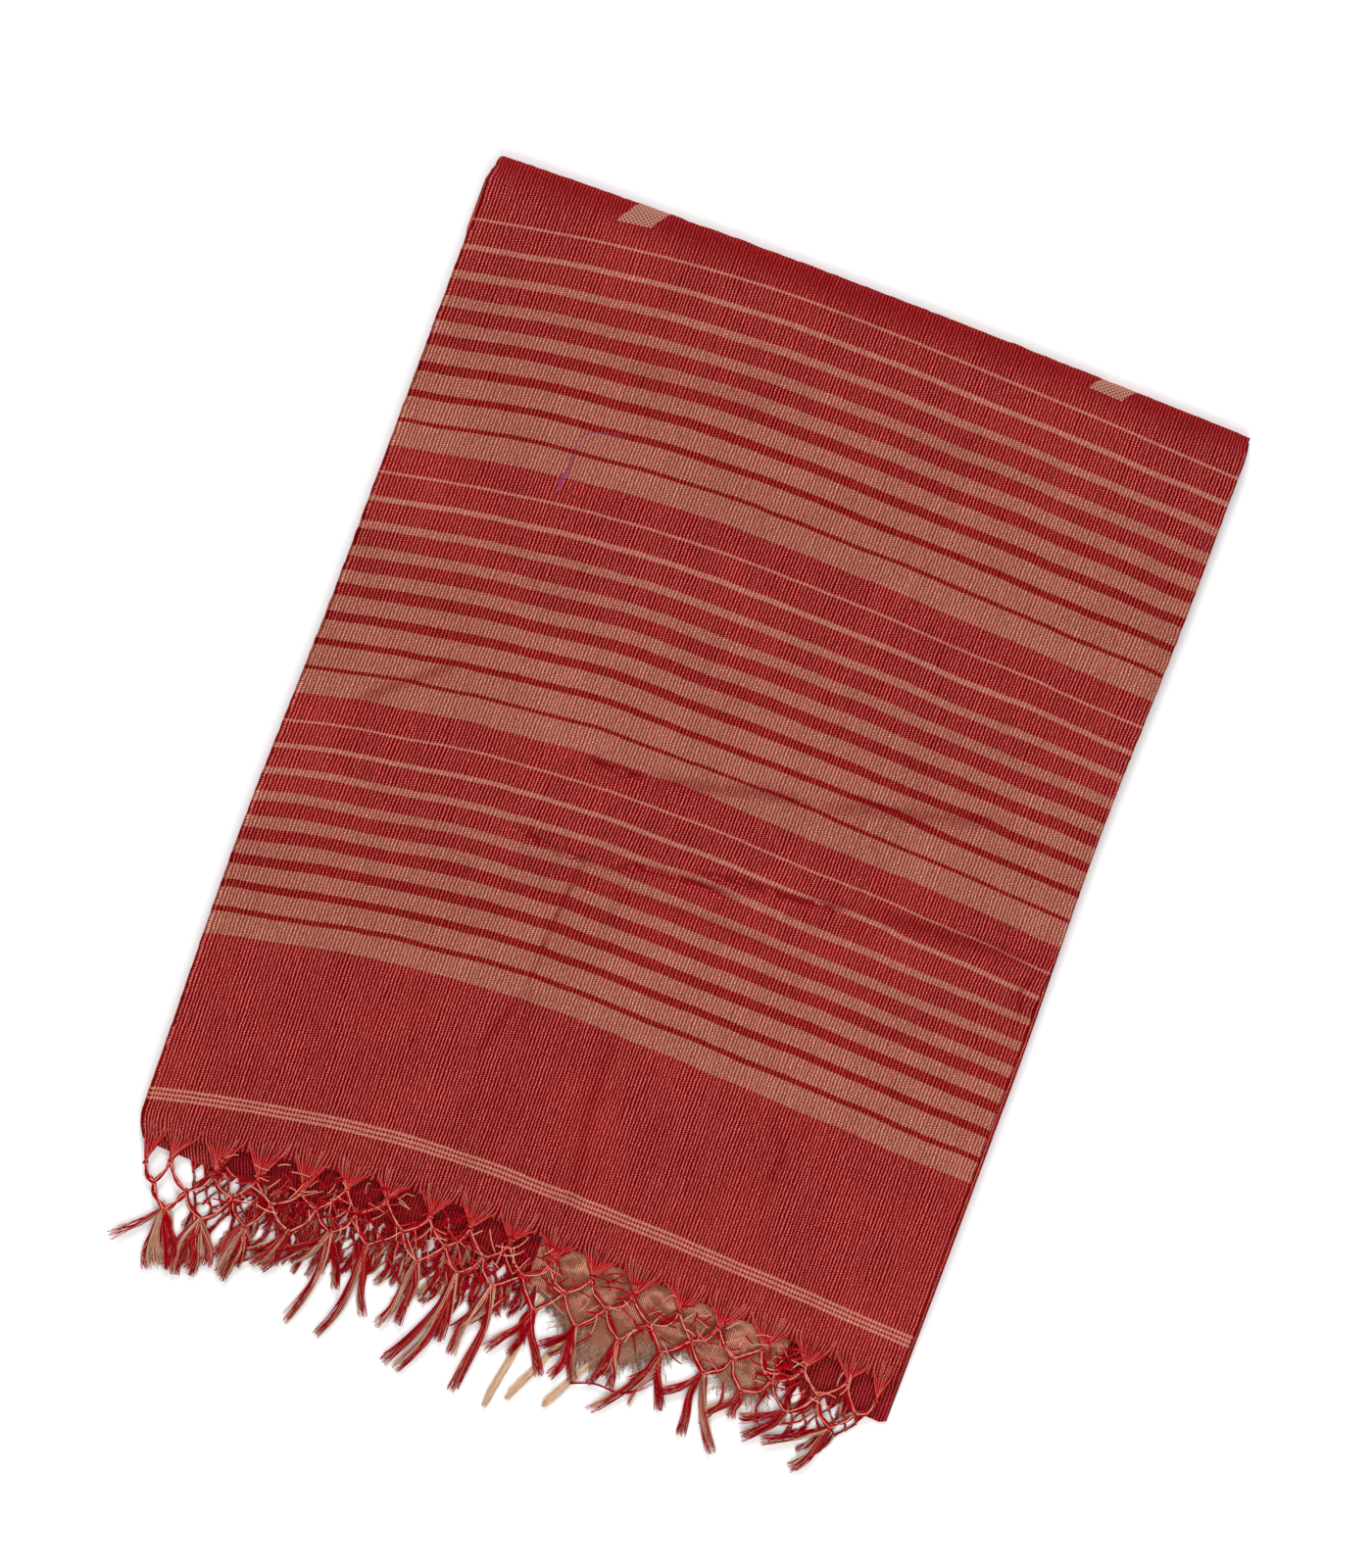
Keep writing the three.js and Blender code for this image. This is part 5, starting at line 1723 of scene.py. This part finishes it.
class SARI_OT_lower_fringe(bpy.types.Operator):
    """Tie the net of the lower half, left and right"""

    bl_idname = "sari.lower_fringe"
    bl_label = "Lower Fringe"

    def execute(self, context):
        # Painted shade: the lower net's yarn is darker, as it lies in the shade of the upper net.
        material = yarn_material("under_fringe_yarn", depth=0.85)
        for number, (net, side) in enumerate(zip(LOWER_NET, ("left", "right"))):
            yarn = Yarn(context.scene.sari_sizes.seed + 3 + number)
            add_lower_net(yarn, net)
            piece = yarn.piece("under_fringe_" + side, material, "fringe_yarn", sides=3)
            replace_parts(piece, "fringe_lower_" + side)
        return {"FINISHED"}


class SARI_OT_plain_end_locks(bpy.types.Operator):
    """Comb out the loose tan locks of the plain end"""

    bl_idname = "sari.plain_end_locks"
    bl_label = "Plain End Locks"

    def execute(self, context):
        yarn = Yarn(context.scene.sari_sizes.seed + 5)
        add_locks(yarn)
        piece = yarn.piece("plain_end_locks", yarn_material("plain_end_yarn"), "plain_end_yarn", sides=3)
        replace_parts(piece, "fringe_plain_end")
        return {"FINISHED"}


class SARI_OT_loose_thread(bpy.types.Operator):
    """Drop a loose purple thread on the end piece"""

    bl_idname = "sari.loose_thread"
    bl_label = "Loose Thread"

    def execute(self, context):
        yarn = Yarn(context.scene.sari_sizes.seed + 6)
        corners = [(u, v, upper_height(u, v) + 0.25) for u, v in LOOSE_THREAD]
        yarn.bundle(curved(corners, 40), 3, 0.25, 0.45, 0.0, twist=2.0)
        for order in ((2, 1, 0), (2, 3)):
            tuft = [(*LOOSE_THREAD[i], upper_height(*LOOSE_THREAD[i]) + 0.4) for i in order]
            yarn.bundle(curved(tuft, 6), 16, 1.5, 0.75, 0.0, end_spread=0.15, flat=0.3)
        yarn.piece("loose_thread", thread_material(), "fringe_yarn", sides=3)
        return {"FINISHED"}


class SARI_OT_declare_cloth(bpy.types.Operator):
    """Do nothing; the flat cut of the cloth is not stated"""

    bl_idname = "sari.declare_cloth"
    bl_label = "State the Cut"

    def execute(self, context):
        return {"FINISHED"}


# Camera straight above, turned by the angle at which the bundle lies.
VIEW = {"turn": 20.4, "x": -0.0031, "y": 0.0453, "distance": 3.6, "frame_height": 1.141}
FLOOR = {"half": 4.0, "z": -0.0004}
ROOM_STRENGTH = 0.6
# Name, place, size and power of each lamp; both point at the bundle.
LAMPS = (
    ("key_light", (-1.8, 6.2, 4.2), 2.6, 400.0),
    ("fill_light", (0.8, -1.6, 2.0), 2.0, 36.0),
)


class SARI_OT_stage(bpy.types.Operator):
    """Set the floor, the soft lights and the camera"""

    bl_idname = "sari.stage"
    bl_label = "Stage"

    def execute(self, context):
        scene = context.scene
        mesh = bpy.data.meshes.new("floor")
        half, z = FLOOR["half"], FLOOR["z"]
        corners = [(-half, -half, z), (half, -half, z), (half, half, z), (-half, half, z)]
        mesh.from_pydata(corners, [], [(0, 1, 2, 3)])
        mesh.materials.append(floor_material())
        floor = bpy.data.objects.new("floor", mesh)
        scene.collection.objects.link(floor)

        world = bpy.data.worlds.new("soft_room")
        world.use_nodes = True
        background = world.node_tree.nodes["Background"]
        background.inputs["Color"].default_value = (1, 1, 1, 1)
        background.inputs["Strength"].default_value = ROOM_STRENGTH
        scene.world = world
        scene.view_settings.view_transform = "Standard"
        scene.view_settings.look = "None"

        for name, spot, size, power in LAMPS:
            light = bpy.data.lights.new(name, "AREA")
            light.size = size
            light.energy = power
            lamp = bpy.data.objects.new(name, light)
            lamp.location = spot
            lamp.rotation_euler = (-Vector(spot)).to_track_quat("-Z", "Y").to_euler()
            scene.collection.objects.link(lamp)

        data = bpy.data.cameras.new("camera")
        data.lens = data.sensor_width * VIEW["distance"] / VIEW["frame_height"]
        camera = bpy.data.objects.new("camera", data)
        camera.location = (VIEW["x"], VIEW["y"], VIEW["distance"] + STACK_HEIGHT * MM)
        camera.rotation_euler = (0, 0, math.radians(VIEW["turn"]))
        scene.collection.objects.link(camera)
        scene.camera = camera
        return {"FINISHED"}


class SARI_PT_panel(bpy.types.Panel):
    """Lists the pieces of the sari"""

    bl_idname = "SARI_PT_panel"
    bl_label = "Folded Cotton Sari"
    bl_space_type = "VIEW_3D"
    bl_region_type = "UI"
    bl_category = "Sari"

    def draw(self, context):
        for group in (context.scene.sari_sizes, context.scene.sari_colours):
            for name in group.__annotations__:
                self.layout.prop(group, name)
        for operator in OPERATORS:
            self.layout.operator(operator.bl_idname)


OPERATORS = (
    SARI_OT_stage,
    SARI_OT_folded_layers,
    SARI_OT_lower_half,
    SARI_OT_plain_end,
    SARI_OT_end_piece,
    SARI_OT_fringe,
    SARI_OT_lower_fringe,
    SARI_OT_plain_end_locks,
    SARI_OT_loose_thread,
    SARI_OT_declare_cloth,
)
CLASSES = (SariSizes, SariColours, *OPERATORS, SARI_PT_panel)


def register():
    for each in CLASSES:
        bpy.utils.register_class(each)
    bpy.types.Scene.sari_sizes = bpy.props.PointerProperty(type=SariSizes)
    bpy.types.Scene.sari_colours = bpy.props.PointerProperty(type=SariColours)


def unregister():
    del bpy.types.Scene.sari_colours
    del bpy.types.Scene.sari_sizes
    for each in reversed(CLASSES):
        bpy.utils.unregister_class(each)


def main():
    register()
    for operator in OPERATORS:
        group, name = operator.bl_idname.split(".")
        getattr(getattr(bpy.ops, group), name)()


if __name__ == "__main__":
    main()
